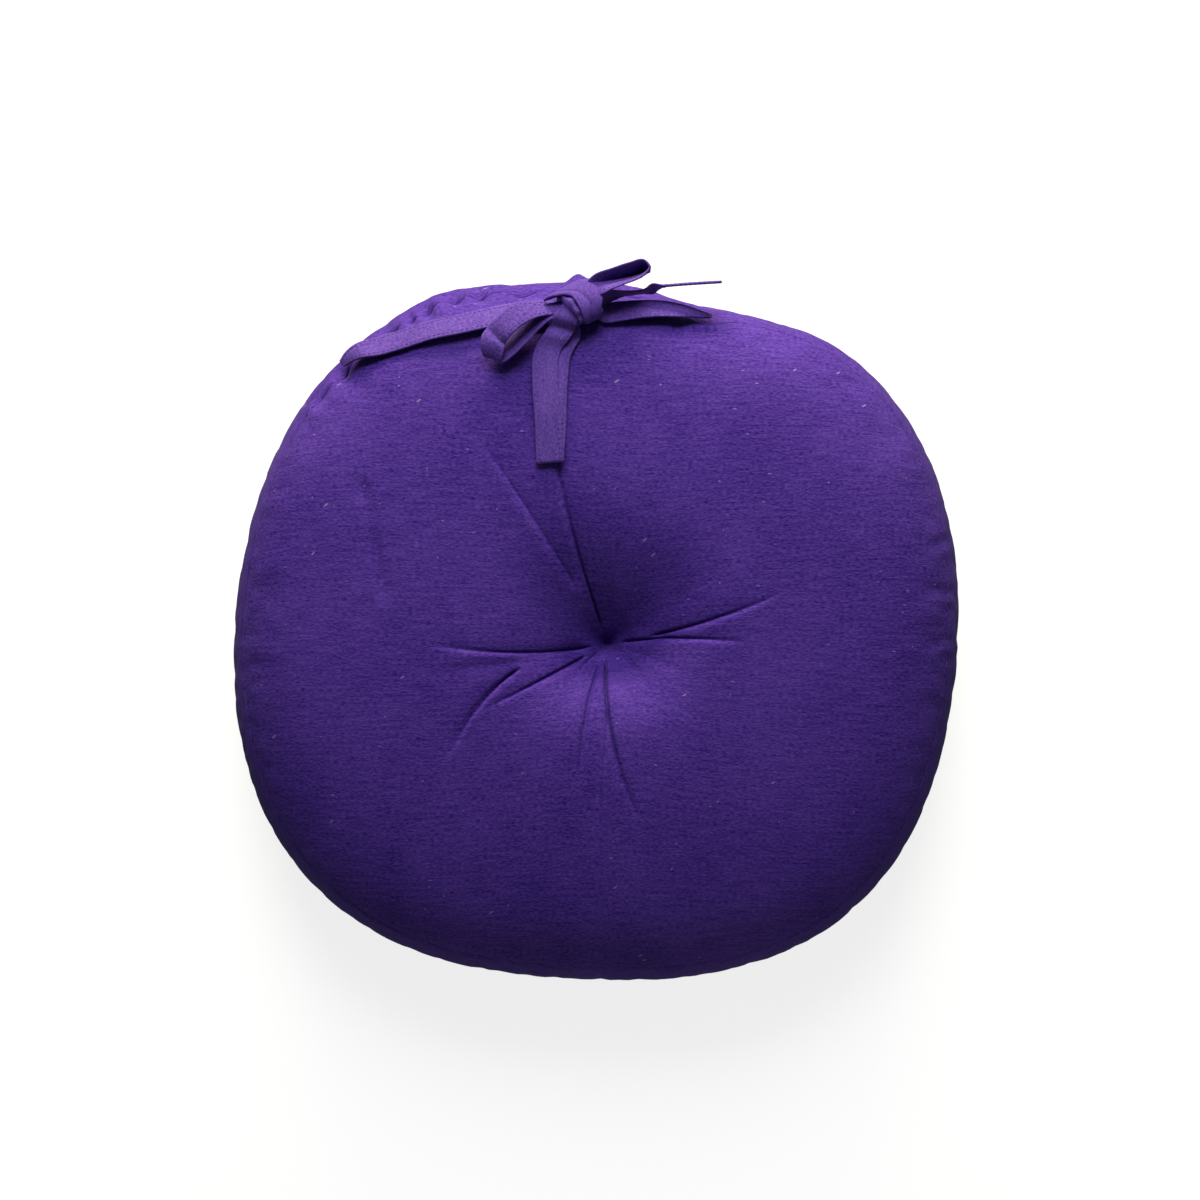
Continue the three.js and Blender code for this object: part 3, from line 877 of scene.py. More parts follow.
@dataclass
class Pad:
    """The filled cover: a top panel with its tuft, a side band and a bottom panel."""

    form: PadForm
    finish: Cotton
    section_rows: SectionRows = SectionRows()
    swelling: Swelling = Swelling()
    fine_arcs: tuple[tuple[float, float], ...] = ((-6, 20), (80, 146), (178, 219), (246, 283))
    fine_step: float = 0.4
    coarse_step: float = 1.0
    groove_depth: float = 0.9
    groove_width: float = 1.2
    stitch_lift: float = 0.1
    hollow_reach: tuple[float, float] = (7.0, 6.0)
    gather_reach: float = 9.0
    puff_place: float = 13.0
    puff_reach: float = 13.0
    puff_front: float = 0.3
    puff_rise: tuple[float, float] = (-0.5, 0.6)
    crease_sector: tuple[float, float] = (20.0, 70.0)
    crease_ramp: float = 0.12
    crease_end: float = 0.8
    slit_width: float = 0.9
    lip_place: float = 1.6
    lip_reach: float = 1.5
    lean_place: float = 0.9
    wrinkle_start: tuple[float, float] = (-0.1, 0.3)
    wrinkle_stop: tuple[float, float] = (0.7, 1.1)
    fill: float = 0.8
    points: np.ndarray = field(init=False)
    seam_row: int = field(init=False)
    bottom_seam_row: int = field(init=False)
    bearings: np.ndarray = field(init=False)
    thing: bpy.types.Object = field(init=False)

    def build(self) -> bpy.types.Object:
        """Makes the pad's mesh.

        Returns:
            The pad's object.
        """
        self._choose_bearings()
        smooth = self._smooth_grid()
        held = self._held(smooth)
        slack = self.swelling.limit * (1.0 - held)[:, :, None] * self._normals(smooth)
        folds = np.zeros_like(smooth)
        folds = self.swelling.fold_share * (self._swollen(smooth - slack, held) - slack)
        self.points = self._sewn(smooth + folds)
        self.thing = self._mesh("cover", self.points)
        self._lay_cloth()
        return self.thing

    def _choose_bearings(self) -> None:
        """Sets the bearings of the sections, closer together at the main creases and the back seam."""
        ends = [*self.fine_arcs, (self.fine_arcs[0][0] + 360.0, 0.0)]
        arcs = []
        for (low, high), (after, _) in zip(ends, ends[1:]):
            for start, stop, step in ((low, high, self.fine_step), (high, after, self.coarse_step)):
                arcs.append(np.linspace(start, stop, round((stop - start) / step), endpoint=False))
        self.bearings = np.concatenate(arcs)

    def _smooth_grid(self) -> np.ndarray:
        """The pad's surface without seams, puckers and creases.

        Returns:
            A point for each section and row, in millimetres.
        """
        form = self.form
        top, band, edge, under = self.section_rows.shares()
        self.seam_row = len(top) - 1
        self.bottom_seam_row = self.seam_row + len(band)
        seam = form.seam_radius(self.bearings)[:, None]
        fold = form.knot_fold
        stand = fold.out * bell(turn_between(fold.bearing, self.bearings), fold.spread)[:, None]
        rest = form.rest_share
        stand_above = stand * smoothstep(top, form.knot_fold_from, 1.0)
        stand_below = stand * (1.0 - smoothstep(band, 0.0, form.knot_fold_to))
        radii = [
            seam * top + stand_above,
            seam + form.band_bulge * np.sin(np.pi * band) + stand_below,
            seam * lerp(1.0, rest, edge),
            seam * rest * under,
        ]
        hollow = np.clip(1.0 - under * rest / form.hollow_share, 0.0, 1.0)
        heights = [
            form.top_height(self.bearings[:, None], top[None, :]),
            lerp(form.seam_height, form.bottom_seam_height, band),
            form.bottom_seam_height * (1.0 - edge) ** form.lower_edge_power,
            form.hollow_depth * hollow**form.hollow_power,
        ]
        sections = len(self.bearings)
        radius, height = (
            np.hstack([np.broadcast_to(part, (sections, part.shape[-1])) for part in parts])
            for parts in (radii, heights)
        )
        angle = np.radians(self.bearings)[:, None]
        x = form.tuft[0] + radius * np.cos(angle)
        y = form.tuft[1] + radius * np.sin(angle)
        return np.stack([x, y, height], axis=2)

    def _normals(self, grid: np.ndarray) -> np.ndarray:
        """Outward directions at the points of a grid.

        Args:
            grid: A point for each section and row.

        Returns:
            A unit direction for each point.
        """
        around = np.roll(grid, -1, axis=0) - np.roll(grid, 1, axis=0)
        down = np.gradient(grid, axis=1)
        cross = np.cross(down, around)
        return cross / np.maximum(np.linalg.norm(cross, axis=2, keepdims=True), TINY)

    def _faces(self, columns: int, rows: int) -> list:
        """Faces of a closed grid with a pole at each end.

        Args:
            columns: The number of sections.
            rows: The number of rows.

        Returns:
            A list of corner numbers for each face.
        """
        column = np.arange(columns)
        after = (column + 1) % columns
        row = np.arange(rows - 1)
        a = (column[:, None] * rows + row).ravel()
        b = (after[:, None] * rows + row).ravel()
        faces = np.stack([a, a + 1, b + 1, b], axis=1).tolist()
        top = columns * rows
        faces += [[top, int(c) * rows, int(d) * rows] for c, d in zip(column, after)]
        last = rows - 1
        faces += [[int(c) * rows + last, top + 1, int(d) * rows + last] for c, d in zip(column, after)]
        return faces

    def _mesh(self, name: str, grid: np.ndarray) -> bpy.types.Object:
        """A closed object from a grid of sections and rows.

        Args:
            name: The object's name.
            grid: A point for each section and row, in millimetres.

        Returns:
            The object.
        """
        columns, rows = grid.shape[:2]
        poles = grid[:, [0, -1]].mean(axis=0)
        points = np.vstack([grid.reshape(-1, 3), poles])
        return new_object(name, points, self._faces(columns, rows))

    def _held(self, grid: np.ndarray) -> np.ndarray:
        """How firmly the seams, the tuft's thread and the floor hold the cover.

        Args:
            grid: The cover.

        Returns:
            The hold on each point, from 0 to 1.
        """
        swelling = self.swelling
        along = self._lengths(grid)
        floor = 1.0 - smoothstep(grid[:, :, 2], 0.0, swelling.floor_hold)
        holds = [bell(along, swelling.tuft_hold), floor]
        for seam in (self.seam_row, self.bottom_seam_row):
            holds.append(bell(along - along[:, [seam]], swelling.seam_hold))
        return np.maximum.reduce(holds)

    def _lengths(self, grid: np.ndarray) -> np.ndarray:
        """The length of cloth from the tuft to each point of a grid."""
        steps = np.linalg.norm(np.diff(grid, axis=1), axis=2)
        return np.hstack([np.zeros((len(grid), 1)), np.cumsum(steps, axis=1)])

    def _swollen(self, start: np.ndarray, held: np.ndarray) -> np.ndarray:
        """How far the filling presses each point of the cover out.

        Args:
            start: The slack cover.
            held: How firmly each of its points is held.

        Returns:
            The moves, in millimetres.
        """
        coarse = self._mesh("pad_slack", self.swelling.thinned(start))
        remesh = coarse.modifiers.new("voxels", "REMESH")
        remesh.mode = "VOXEL"
        remesh.voxel_size = self.swelling.voxel * MM
        slack = evaluated_copy(coarse, "pad_slack")
        before = self._coordinates(slack.data)
        self._pin(slack, before, start, held)
        moves = self._inflate(slack) - before
        length = np.linalg.norm(moves, axis=1, keepdims=True)
        moves *= np.minimum(1.0, self.swelling.limit / np.maximum(length, TINY))
        found = self._carried(start, slack.data, before, moves)
        bpy.data.objects.remove(slack)
        return found

    def _coordinates(self, mesh: bpy.types.Mesh) -> np.ndarray:
        """Reads the points of a mesh.

        Args:
            mesh: The mesh.

        Returns:
            One point a row, in millimetres.
        """
        flat = np.zeros(len(mesh.vertices) * 3, np.float32)
        mesh.vertices.foreach_get("co", flat)
        return flat.reshape(-1, 3).astype(float) / MM

    def _pin(
        self, slack: bpy.types.Object, before: np.ndarray, start: np.ndarray, held: np.ndarray
    ) -> None:
        """Pins the points of the slack cover that are held.

        Args:
            slack: The slack cover's object.
            before: Its points, in millimetres.
            start: The fine grid of the slack cover.
            held: How firmly each point of the grid is held.
        """
        grid = self.swelling.thinned(start).reshape(-1, 3)
        firm = self.swelling.thinned(held).ravel()
        nearest = KDTree(len(grid))
        for number, point in enumerate(grid):
            nearest.insert(point, number)
        nearest.balance()
        pins = slack.vertex_groups.new(name=PIN_GROUP)
        for number, point in enumerate(before):
            if firm[nearest.find(point)[1]] > self.swelling.pin_from:
                pins.add([number], 1.0, "REPLACE")

    def _inflate(self, slack: bpy.types.Object) -> np.ndarray:
        """Presses the slack cover out with cloth simulation.

        Args:
            slack: The slack cover's object.

        Returns:
            The points after the simulation, in millimetres.
        """
        swelling = self.swelling
        cloth = slack.modifiers.new("filling", "CLOTH")
        cloth.settings.quality = swelling.quality
        cloth.settings.mass = swelling.mass
        cloth.settings.tension_stiffness = swelling.stiffness
        cloth.settings.compression_stiffness = swelling.stiffness
        cloth.settings.bending_stiffness = swelling.bending
        cloth.settings.shrink_min = -swelling.spare_cloth
        cloth.settings.use_pressure = True
        cloth.settings.uniform_pressure_force = swelling.pressure
        cloth.settings.effector_weights.gravity = 0.0
        cloth.settings.vertex_group_mass = PIN_GROUP
        cloth.collision_settings.use_collision = False
        cloth.point_cache.frame_start = 1
        cloth.point_cache.frame_end = swelling.frames
        scene = bpy.context.scene
        for frame in range(1, swelling.frames + 1):
            scene.frame_set(frame)
        graph = bpy.context.evaluated_depsgraph_get()
        pressed = bpy.data.meshes.new_from_object(slack.evaluated_get(graph))
        slack.modifiers.remove(cloth)
        scene.frame_set(1)
        after = self._coordinates(pressed)
        bpy.data.meshes.remove(pressed)
        return after

    def _carried(
        self, start: np.ndarray, mesh: bpy.types.Mesh, before: np.ndarray, moves: np.ndarray
    ) -> np.ndarray:
        """Carries the moves of the simulated cover over to the fine grid.

        Args:
            start: The fine grid of the slack cover.
            mesh: The slack cover's simulated mesh.
            before: That mesh's points before it moved.
            moves: How they moved.

        Returns:
            The moves of the fine grid's points.
        """
        tree = surface_of(before, mesh)
        found = np.zeros((start.shape[0] * start.shape[1], 3))
        for number, point in enumerate(start.reshape(-1, 3)):
            place, _, face, _ = tree.find_nearest(point)
            ring = list(mesh.polygons[face].vertices)
            weights = poly_3d_calc([Vector(before[corner]) for corner in ring], place)
            found[number] = np.dot(weights, moves[ring])
        return found.reshape(start.shape)

    def _sewn(self, grid: np.ndarray) -> np.ndarray:
        """The swollen cover with its seams, puckers, creases and wrinkles.

        Args:
            grid: The swollen cover.

        Returns:
            The finished points.
        """
        normals = self._normals(grid)
        along = self._lengths(grid)
        inward = np.zeros(grid.shape[:2])
        for seam in (self.seam_row, self.bottom_seam_row):
            away = along - along[:, [seam]]
            inward += self.groove_depth * np.exp(-np.abs(away) / self.groove_width)
        away = along - along[:, [self.seam_row]]
        reach = np.where(away < 0.0, self.hollow_reach[0], self.hollow_reach[1])
        inward += self.form.drawn_in(self.bearings)[:, None] * np.exp(-np.abs(away) / reach)
        inward += self._gathers()[:, None] * bell(away, self.gather_reach)
        inward += self._puffs()[:, None] * bell(away + self.puff_place, self.puff_reach)
        finished = grid - inward[:, :, None] * normals
        drop, shift = self._creases(grid)
        drop += self._wrinkles(grid)
        on_top = np.arange(grid.shape[1]) <= self.seam_row
        finished[:, :, 2] -= drop * on_top
        finished[:, :, :2] += shift * on_top[None, :, None]
        finished[:, :, 2] = np.maximum(finished[:, :, 2], 0.0)
        return finished

    def _gathers(self) -> np.ndarray:
        """Fine gathers of the top seam where the thread draws the cloth up."""
        angle = np.radians(self.bearings)
        return sum(wave.at(angle) for wave in GATHERS) * (1.0 + GATHER_STRENGTH.at(angle))

    def _puffs(self) -> np.ndarray:
        """Soft puffs of the top panel between the gathers, stronger towards the back.

        Returns:
            How far each section is pressed in.
        """
        angle = np.radians(self.bearings)
        strength = lerp(self.puff_front, 1.0, smoothstep(np.sin(angle), *self.puff_rise))
        return sum(wave.at(angle) for wave in PUFFS) * strength

    def _creases(self, grid: np.ndarray) -> tuple[np.ndarray, np.ndarray]:
        """The creases that run out from the tuft.

        Args:
            grid: The swollen cover.

        Returns:
            How far each point drops, and how far it moves sideways.
        """
        x = grid[:, :, 0] - self.form.tuft[0]
        y = grid[:, :, 1] - self.form.tuft[1]
        distance = np.hypot(x, y)
        bearing = np.degrees(np.arctan2(y, x))
        tangent = np.stack([-y, x], axis=2) / np.maximum(distance, TINY)[:, :, None]
        drop = np.zeros_like(distance)
        shift = np.zeros_like(tangent)
        for crease in CREASES:
            share = np.clip((distance - crease.start) / (crease.stop - crease.start), 0.0, 1.0)
            turn = turn_between(lerp(crease.inner, crease.outer, share), bearing)
            aside = distance * np.sin(np.radians(np.clip(turn, -90.0, 90.0)))
            sector = 1.0 - smoothstep(np.abs(turn), *self.crease_sector)
            fade = smoothstep(share, 0.0, self.crease_ramp) * (1.0 - share) ** self.crease_end * sector
            bank = np.where(aside > 0.0, crease.high_bank, crease.low_bank)
            side = math.copysign(1.0, crease.lip)
            width = crease.high_bank if side > 0.0 else crease.low_bank
            drop += crease.depth * fade * np.exp(-((np.abs(aside) / bank) ** crease.sharpness))
            drop += crease.slit * fade * bell(aside, self.slit_width)
            lip = bell(aside - self.lip_place * side * width, self.lip_reach * width)
            drop -= abs(crease.lip) * fade * lip
            lean = -side * crease.lean * fade * bell(aside - self.lean_place * side * width, width)
            shift += lean[:, :, None] * tangent
        return drop, shift

    def _wrinkles(self, grid: np.ndarray) -> np.ndarray:
        """The short wrinkles of the top panel.

        Args:
            grid: The swollen cover.

        Returns:
            How far each point drops.
        """
        drop = np.zeros(grid.shape[:2])
        for wrinkle in WRINKLES:
            first = np.array([wrinkle.x0, wrinkle.y0])
            way = np.array([wrinkle.x1, wrinkle.y1]) - first
            length = np.hypot(*way)
            offset = grid[:, :, :2] - first
            share = (offset @ way) / length**2
            aside = (offset[:, :, 0] * way[1] - offset[:, :, 1] * way[0]) / length
            fade = smoothstep(share, *self.wrinkle_start) * (1.0 - smoothstep(share, *self.wrinkle_stop))
            drop += wrinkle.depth * fade * np.exp(-np.abs(aside) / wrinkle.half_width)
        return drop

    def _lay_cloth(self) -> None:
        """Writes the cloth map: each panel lies on it as it was cut, in metres."""
        grid = np.concatenate([self.points, self.points[:1]])
        bearings = np.radians(np.append(self.bearings, self.bearings[0] + 360.0))
        along = self._lengths(grid) * MM
        heading = np.stack([np.cos(bearings), np.sin(bearings)], axis=1)[:, None, :]
        last = grid.shape[1] - 1
        outward = along[:, :, None]
        inward = (along[:, [last]] - along)[:, :, None]
        around = np.broadcast_to((bearings * self.form.edge_radius_mean * MM)[:, None], along.shape)
        maps = {
            Panel.TOP: heading * outward,
            Panel.BAND: np.stack([around, along], axis=2),
            Panel.UNDERSIDE: heading * inward,
        }
        rows = self.points.shape[1]
        columns = len(self.bearings)
        row = np.arange(rows - 1)
        quads = np.zeros((columns, rows - 1, 4, 2))
        for panel, chosen in (
            (Panel.TOP, row < self.seam_row),
            (Panel.BAND, (row >= self.seam_row) & (row < self.bottom_seam_row)),
            (Panel.UNDERSIDE, row >= self.bottom_seam_row),
        ):
            flat = maps[panel] + np.array(panel.value)
            corners = (flat[:-1, :-1], flat[:-1, 1:], flat[1:, 1:], flat[1:, :-1])
            quads[:, chosen] = np.stack(corners, axis=2)[:, chosen]
        top = maps[Panel.TOP] + np.array(Panel.TOP.value)
        under = maps[Panel.UNDERSIDE] + np.array(Panel.UNDERSIDE.value)
        top_pole = np.broadcast_to(np.array(Panel.TOP.value), (columns, 2))
        under_pole = np.broadcast_to(np.array(Panel.UNDERSIDE.value), (columns, 2))
        top_fan = np.stack([top_pole, top[:-1, 0], top[1:, 0]], axis=1)
        under_fan = np.stack([under[:-1, last], under_pole, under[1:, last]], axis=1)
        flat = np.concatenate([quads.ravel(), top_fan.ravel(), under_fan.ravel()])
        layer = self.thing.data.uv_layers.new(name=CLOTH_MAP)
        layer.data.foreach_set("uv", flat.astype(np.float32))

    def dress(self) -> None:
        """Gives the pad its cotton, and its place in the frame."""
        self.thing.data.materials.append(self.finish.material())
        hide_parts("pad")
        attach(self.thing, BODY)

    def surface(self) -> BVHTree:
        """The finished pad's surface, for what lies on it."""
        mesh = self.thing.data
        return surface_of(self._coordinates(mesh), mesh)

    def seam_runs(self) -> list[np.ndarray]:
        """The lines of stitches in the two seams.

        Returns:
            The points of each line, in millimetres.
        """
        normals = self._normals(self.points)
        runs = []
        for row in (self.seam_row, self.bottom_seam_row):
            line = self.points[:, row] + self.stitch_lift * normals[:, row]
            runs.append(np.vstack([line, line[:1]]))
        return runs


# Ties

TIE_WIDTH = 15.0


@dataclass(frozen=True)
class Row:
    """A section of a strip: its middle, the bearing and slope of its width, and how wide it lies there.

    The height is above the floor, or above the pad if the section lies on it. A cup arches the section.
    """

    x: float
    y: float
    height: float
    turn: float
    slope: float
    width: float = TIE_WIDTH
    cup: float = 0.0
    on_pad: bool = False


def laid(x: float, y: float, lift: float, turn: float, slope: float, width: float = TIE_WIDTH) -> Row:
    """A section that lies at a lift above the pad."""
    return Row(x, y, lift, turn, slope, width, on_pad=True)


LEFT_STRAP = (
    Row(-138.4, 141.0, 53.0, 130, -20, 5),
    Row(-134.2, 144.6, 55.4, 124, -30, 9),
    Row(-128, 147.4, 58.2, 116, -36, 13),
    laid(-119, 149.4, 4.2, 110, -37),
    laid(-106, 152.8, 3.2, 106, -36),
    laid(-89.5, 157.2, 3.2, 104, -36),
    laid(-73.5, 160, 3.2, 103, -35),
    laid(-60, 163.2, 3.6, 104, -34),
    laid(-41, 167.2, 4.2, 106, -31, 14),
    Row(-25, 168.6, 67.6, 112, -26, 11),
    Row(-13.5, 166.6, 70, 120, -20, 9),
)
RIGHT_STRAP = (
    Row(63, 168.2, 49, 76, -40, 3.4),
    Row(58, 168.2, 52.6, 78, -44, 6.4),
    Row(52, 168.6, 56.4, 82, -46, 10),
    Row(46, 169.0, 59.4, 86, -46, 13),
    Row(35, 169.6, 61.8, 90, -43),
    Row(24, 169, 63.4, 95, -39),
    Row(13, 167.6, 64.6, 100, -34),
    Row(3, 166.4, 65.4, 106, -28, 14),
    Row(-5.2, 169.6, 64.4, 118, -20, 11),
)
LEFT_LOOP = (
    Row(-13.7, 167.6, 74.2, 120, -22, 9),
    Row(-18.7, 167.4, 74.2, 118, -24, 9),
    Row(-24.4, 166.4, 74.4, 117, -25, 8.4),
    Row(-30.4, 165.8, 76.8, 117, -25, 10),
    Row(-36, 165, 79.4, 118, -25, 13.5),
    Row(-42.2, 161.9, 81, 119, -25),
    Row(-47.8, 157, 81.4, 122, -25),
    Row(-51.3, 153.6, 80.4, 128, -22),
    Row(-53.4, 151, 79, 136, -16, 14.5),
    Row(-54.7, 147.8, 81, 150, -10, 14.5, 1.0),
    Row(-55.4, 143.8, 81.2, 158, -8, 13.5, 1.5),
    Row(-55.6, 140.4, 79.8, 160, -10, 11.5, 1.5),
    Row(-55.2, 138.6, 77.8, 156, -14, 9.5, 1.0),
    Row(-52.6, 140, 76.6, 145, -24, 11),
    Row(-48.4, 144, 76.2, 134, -32, 13.5),
    Row(-43.2, 149.4, 75.8, 127, -36),
    Row(-38, 155, 75.2, 122, -34),
    Row(-32.4, 160.6, 74.6, 120, -29, 13),
    Row(-25.4, 165.2, 74.2, 119, -25, 11),
    Row(-13.6, 167.4, 74.2, 120, -22, 9),
)
RIGHT_LOOP = (
    Row(-6, 174, 73.6, -62, 5, 9),
    Row(-1.5, 177.3, 74.6, -64, 22, 11.5),
    Row(5.2, 179.4, 74.6, -66, 48, 13),
    Row(12.7, 181.8, 72.8, -66, 62, 14),
    Row(20.2, 184.2, 71, -65, 69, 14),
    Row(25.1, 186.4, 70, -64, 76, 14),
    Row(28.6, 189.4, 69.4, -63, 90, 14),
    Row(26.4, 191.4, 69.2, -62, 106, 14),
    Row(18.3, 188.9, 69.8, -62, 113, 14),
    Row(8.6, 185.2, 71, -62, 118, 13),
    Row(1, 181.7, 72.2, -62, 135, 11),
    Row(-4.7, 175.5, 72, -62, 165, 9),
)
FRONT_TAIL = (
    Row(-10.4, 168.4, 75, 122, -20, 9),
    Row(-14.2, 164.8, 77, 146, -12, 12),
    Row(-16.4, 160.2, 77.4, 160, -5, 13.5),
    Row(-18.5, 156.2, 74, 166, -2, 14),
    Row(-20.9, 152, 75.4, 167, 0, 14),
    laid(-25, 146.2, 4.2, 172, 0, 14),
    laid(-27.1, 139.6, 3.4, 177, 0, 14),
    laid(-27.3, 130.7, 3.2, 180, 0, 14),
    laid(-26.7, 119.7, 3.2, 182, 0, 14),
    laid(-25.8, 108.7, 3.2, 183, 0, 14),
    laid(-25, 95.2, 2.8, 184, 0, 14.5),
    laid(-24.2, 82.8, 2.2, 184, 0),
)
TAIL_BACK_PLY = (
    Row(-13, 166.2, 70.6, 125, -18, 9),
    Row(-13.6, 159.5, 71, 150, -8, 12),
    laid(-14.6, 153.4, 2.6, 160, 0, 13),
    laid(-17.6, 147.4, 2.3, 170, 0, 13),
    laid(-20.4, 141.4, 2.3, 178, 0, 14),
    laid(-21.7, 131, 2.3, 180, 0, 14),
    laid(-22.5, 117.3, 2.2, 182, 0, 14),
    laid(-22.9, 100.9, 2, 184, 0, 14),
    laid(-24.1, 84.5, 2, 184, 0, 14),
)
RIGHT_TAIL = (
    Row(-4.3, 172.4, 69.6, 112, -20, 9),
    Row(2, 174.6, 66, 106, 20, 8.5),
    Row(8, 176.4, 63.4, 102, 55, 8.5),
    Row(14.5, 177.8, 61.8, 99, 85, 9),
    Row(20, 178.4, 61, 98, 92, 9.5),
    Row(25.9, 179.3, 60.6, 98, 92, 10.5),
    Row(30.5, 180.8, 60.2, 104, 76, 12),
    Row(35.5, 182.2, 59.8, 100, 98, 13.5),
    Row(45.5, 183.4, 59.2, 96, 103, 14),
    Row(56.4, 184.3, 58.6, 95, 103, 14),
    Row(67.8, 185.1, 58, 95, 103, 14),
)


@dataclass(frozen=True)
class Knot:
    """The bow's knot. Its axis runs along the bearing and falls by the tilt, and it lies on a slope.

    The band spreads into a hood where the sine of the turn around the knot rises through the hood's range,
    and narrows along the neck. The cloth gathered inside it is pleated.
    """

    x: float = -8.0
    y: float = 170.5
    height: float = 72.5
    bearing: float = 32.0
    tilt: float = 18.0
    slope: float = -20.0
    half_width: float = 13.0
    half_height: float = 8.0
    wall: float = 1.8
    under_rim: float = 5.0
    rim_power: float = 8.0
    pleat_depth: float = 1.0
    pleat_width: float = 0.9
    hood: tuple[float, float] = (-0.35, 0.1)
    neck: tuple[float, float] = (4.0, 18.0)
    neck_share: float = 0.3
    gather_pleats: int = 9
    gather_pleat_share: float = 0.05
    sides: int = 72
    skin_points: int = 33
    lining_points: int = 11
    gather_rings: int = 7

    def place(self, points: np.ndarray) -> np.ndarray:
        """Carries points from the knot's own axes to the frame.

        Args:
            points: Points with +Y along the knot, in millimetres.

        Returns:
            The points in the frame.
        """
        turn = Matrix.Rotation(math.radians(self.bearing - 90.0), 3, "Z")
        turn = turn @ Matrix.Rotation(math.radians(-self.tilt), 3, "X")
        turn = turn @ Matrix.Rotation(math.radians(self.slope), 3, "Y")
        return points @ np.array(turn).T + np.array([self.x, self.y, self.height])

    def way_around(self) -> float:
        """The length of strip that goes once around the knot, in millimetres."""
        return math.pi * (self.half_width + self.half_height)

    def turns(self) -> np.ndarray:
        """Even turns around the knot's axis, in radians."""
        return np.linspace(0.0, FULL_TURN, self.sides, endpoint=False)

    def inner_share(self) -> float:
        """The band's inner face, as a share of its outer one."""
        return 1.0 - self.wall / self.half_width


@dataclass(frozen=True)
class Gather:
    """A tie's gathered cloth inside the knot: its ends along the knot's axis, and its gap to the band."""

    low: float
    high: float
    gap: float


@dataclass(frozen=True)
class Rim:
    """Where the band lies over the top of the knot: its rims and its pleat, along the knot's axis."""

    across: float
    left: float
    pleat: float
    right: float


BAND_RIMS = (
    Rim(-13.0, -17.0, -11.6, 13.0),
    Rim(-10.0, -13.0, -8.0, 15.0),
    Rim(-6.0, -8.0, -3.1, 17.0),
    Rim(-2.0, -5.8, -1.0, 18.0),
    Rim(3.0, -6.0, 0.3, 15.0),
    Rim(8.0, -6.5, 0.7, 10.0),
    Rim(12.3, -7.0, -1.8, 4.5),
)


@dataclass
class ClothMesh:
    """Points, faces and cloth map of a piece that is put together from several shells."""

    points: list = field(default_factory=list)
    faces: list = field(default_factory=list)
    places: list = field(default_factory=list)
    count: int = 0

    def add(self, points: np.ndarray, faces: list, places: list) -> None:
        """Adds a shell.

        Args:
            points: Its points, in millimetres.
            faces: Its faces, numbered from its first point.
            places: The cloth map's place of each corner of each face.
        """
        self.points.append(points)
        self.faces += [[self.count + corner for corner in face] for face in faces]
        self.places += places
        self.count += len(points)

    def add_tube(
        self, rings: np.ndarray, across: np.ndarray, along: np.ndarray, closed: bool = False
    ) -> None:
        """Adds a shell through rings of points, with flat ends unless it closes on itself.

        Args:
            rings: A ring of points for each section.
            across: The cloth map's place across the cloth, for each point of a ring and the first again.
            along: Its place along the cloth, for each section, and the first again if the shell closes.
            closed: Whether the last section joins the first.
        """
        sections, sides = rings.shape[:2]
        faces = []
        places = []
        for s in range(sections if closed else sections - 1):
            after = (s + 1) % sections
            for k in range(sides):
                n = (k + 1) % sides
                faces.append([s * sides + k, s * sides + n, after * sides + n, after * sides + k])
                low, high = along[s], along[s + 1]
                left, right = across[k], across[k + 1]
                places += [(low, left), (low, right), (high, right), (high, left)]
        if not closed:
            last = (sections - 1) * sides
            faces.append(list(range(sides))[::-1])
            faces.append(list(range(last, last + sides)))
            places += [(along[0], place) for place in across[:-1][::-1]]
            places += [(along[-1], place) for place in across[:-1]]
        self.add(rings.reshape(-1, 3), faces, places)

    def object(self, name: str) -> bpy.types.Object:
        """Makes the shells one object with its cloth map.

        Args:
            name: The object's name.

        Returns:
            The object.
        """
        thing = new_object(name, np.vstack(self.points), self.faces)
        layer = thing.data.uv_layers.new(name=CLOTH_MAP)
        layer.data.foreach_set("uv", (np.array(self.places) * MM).astype(np.float32).ravel())
        return thing


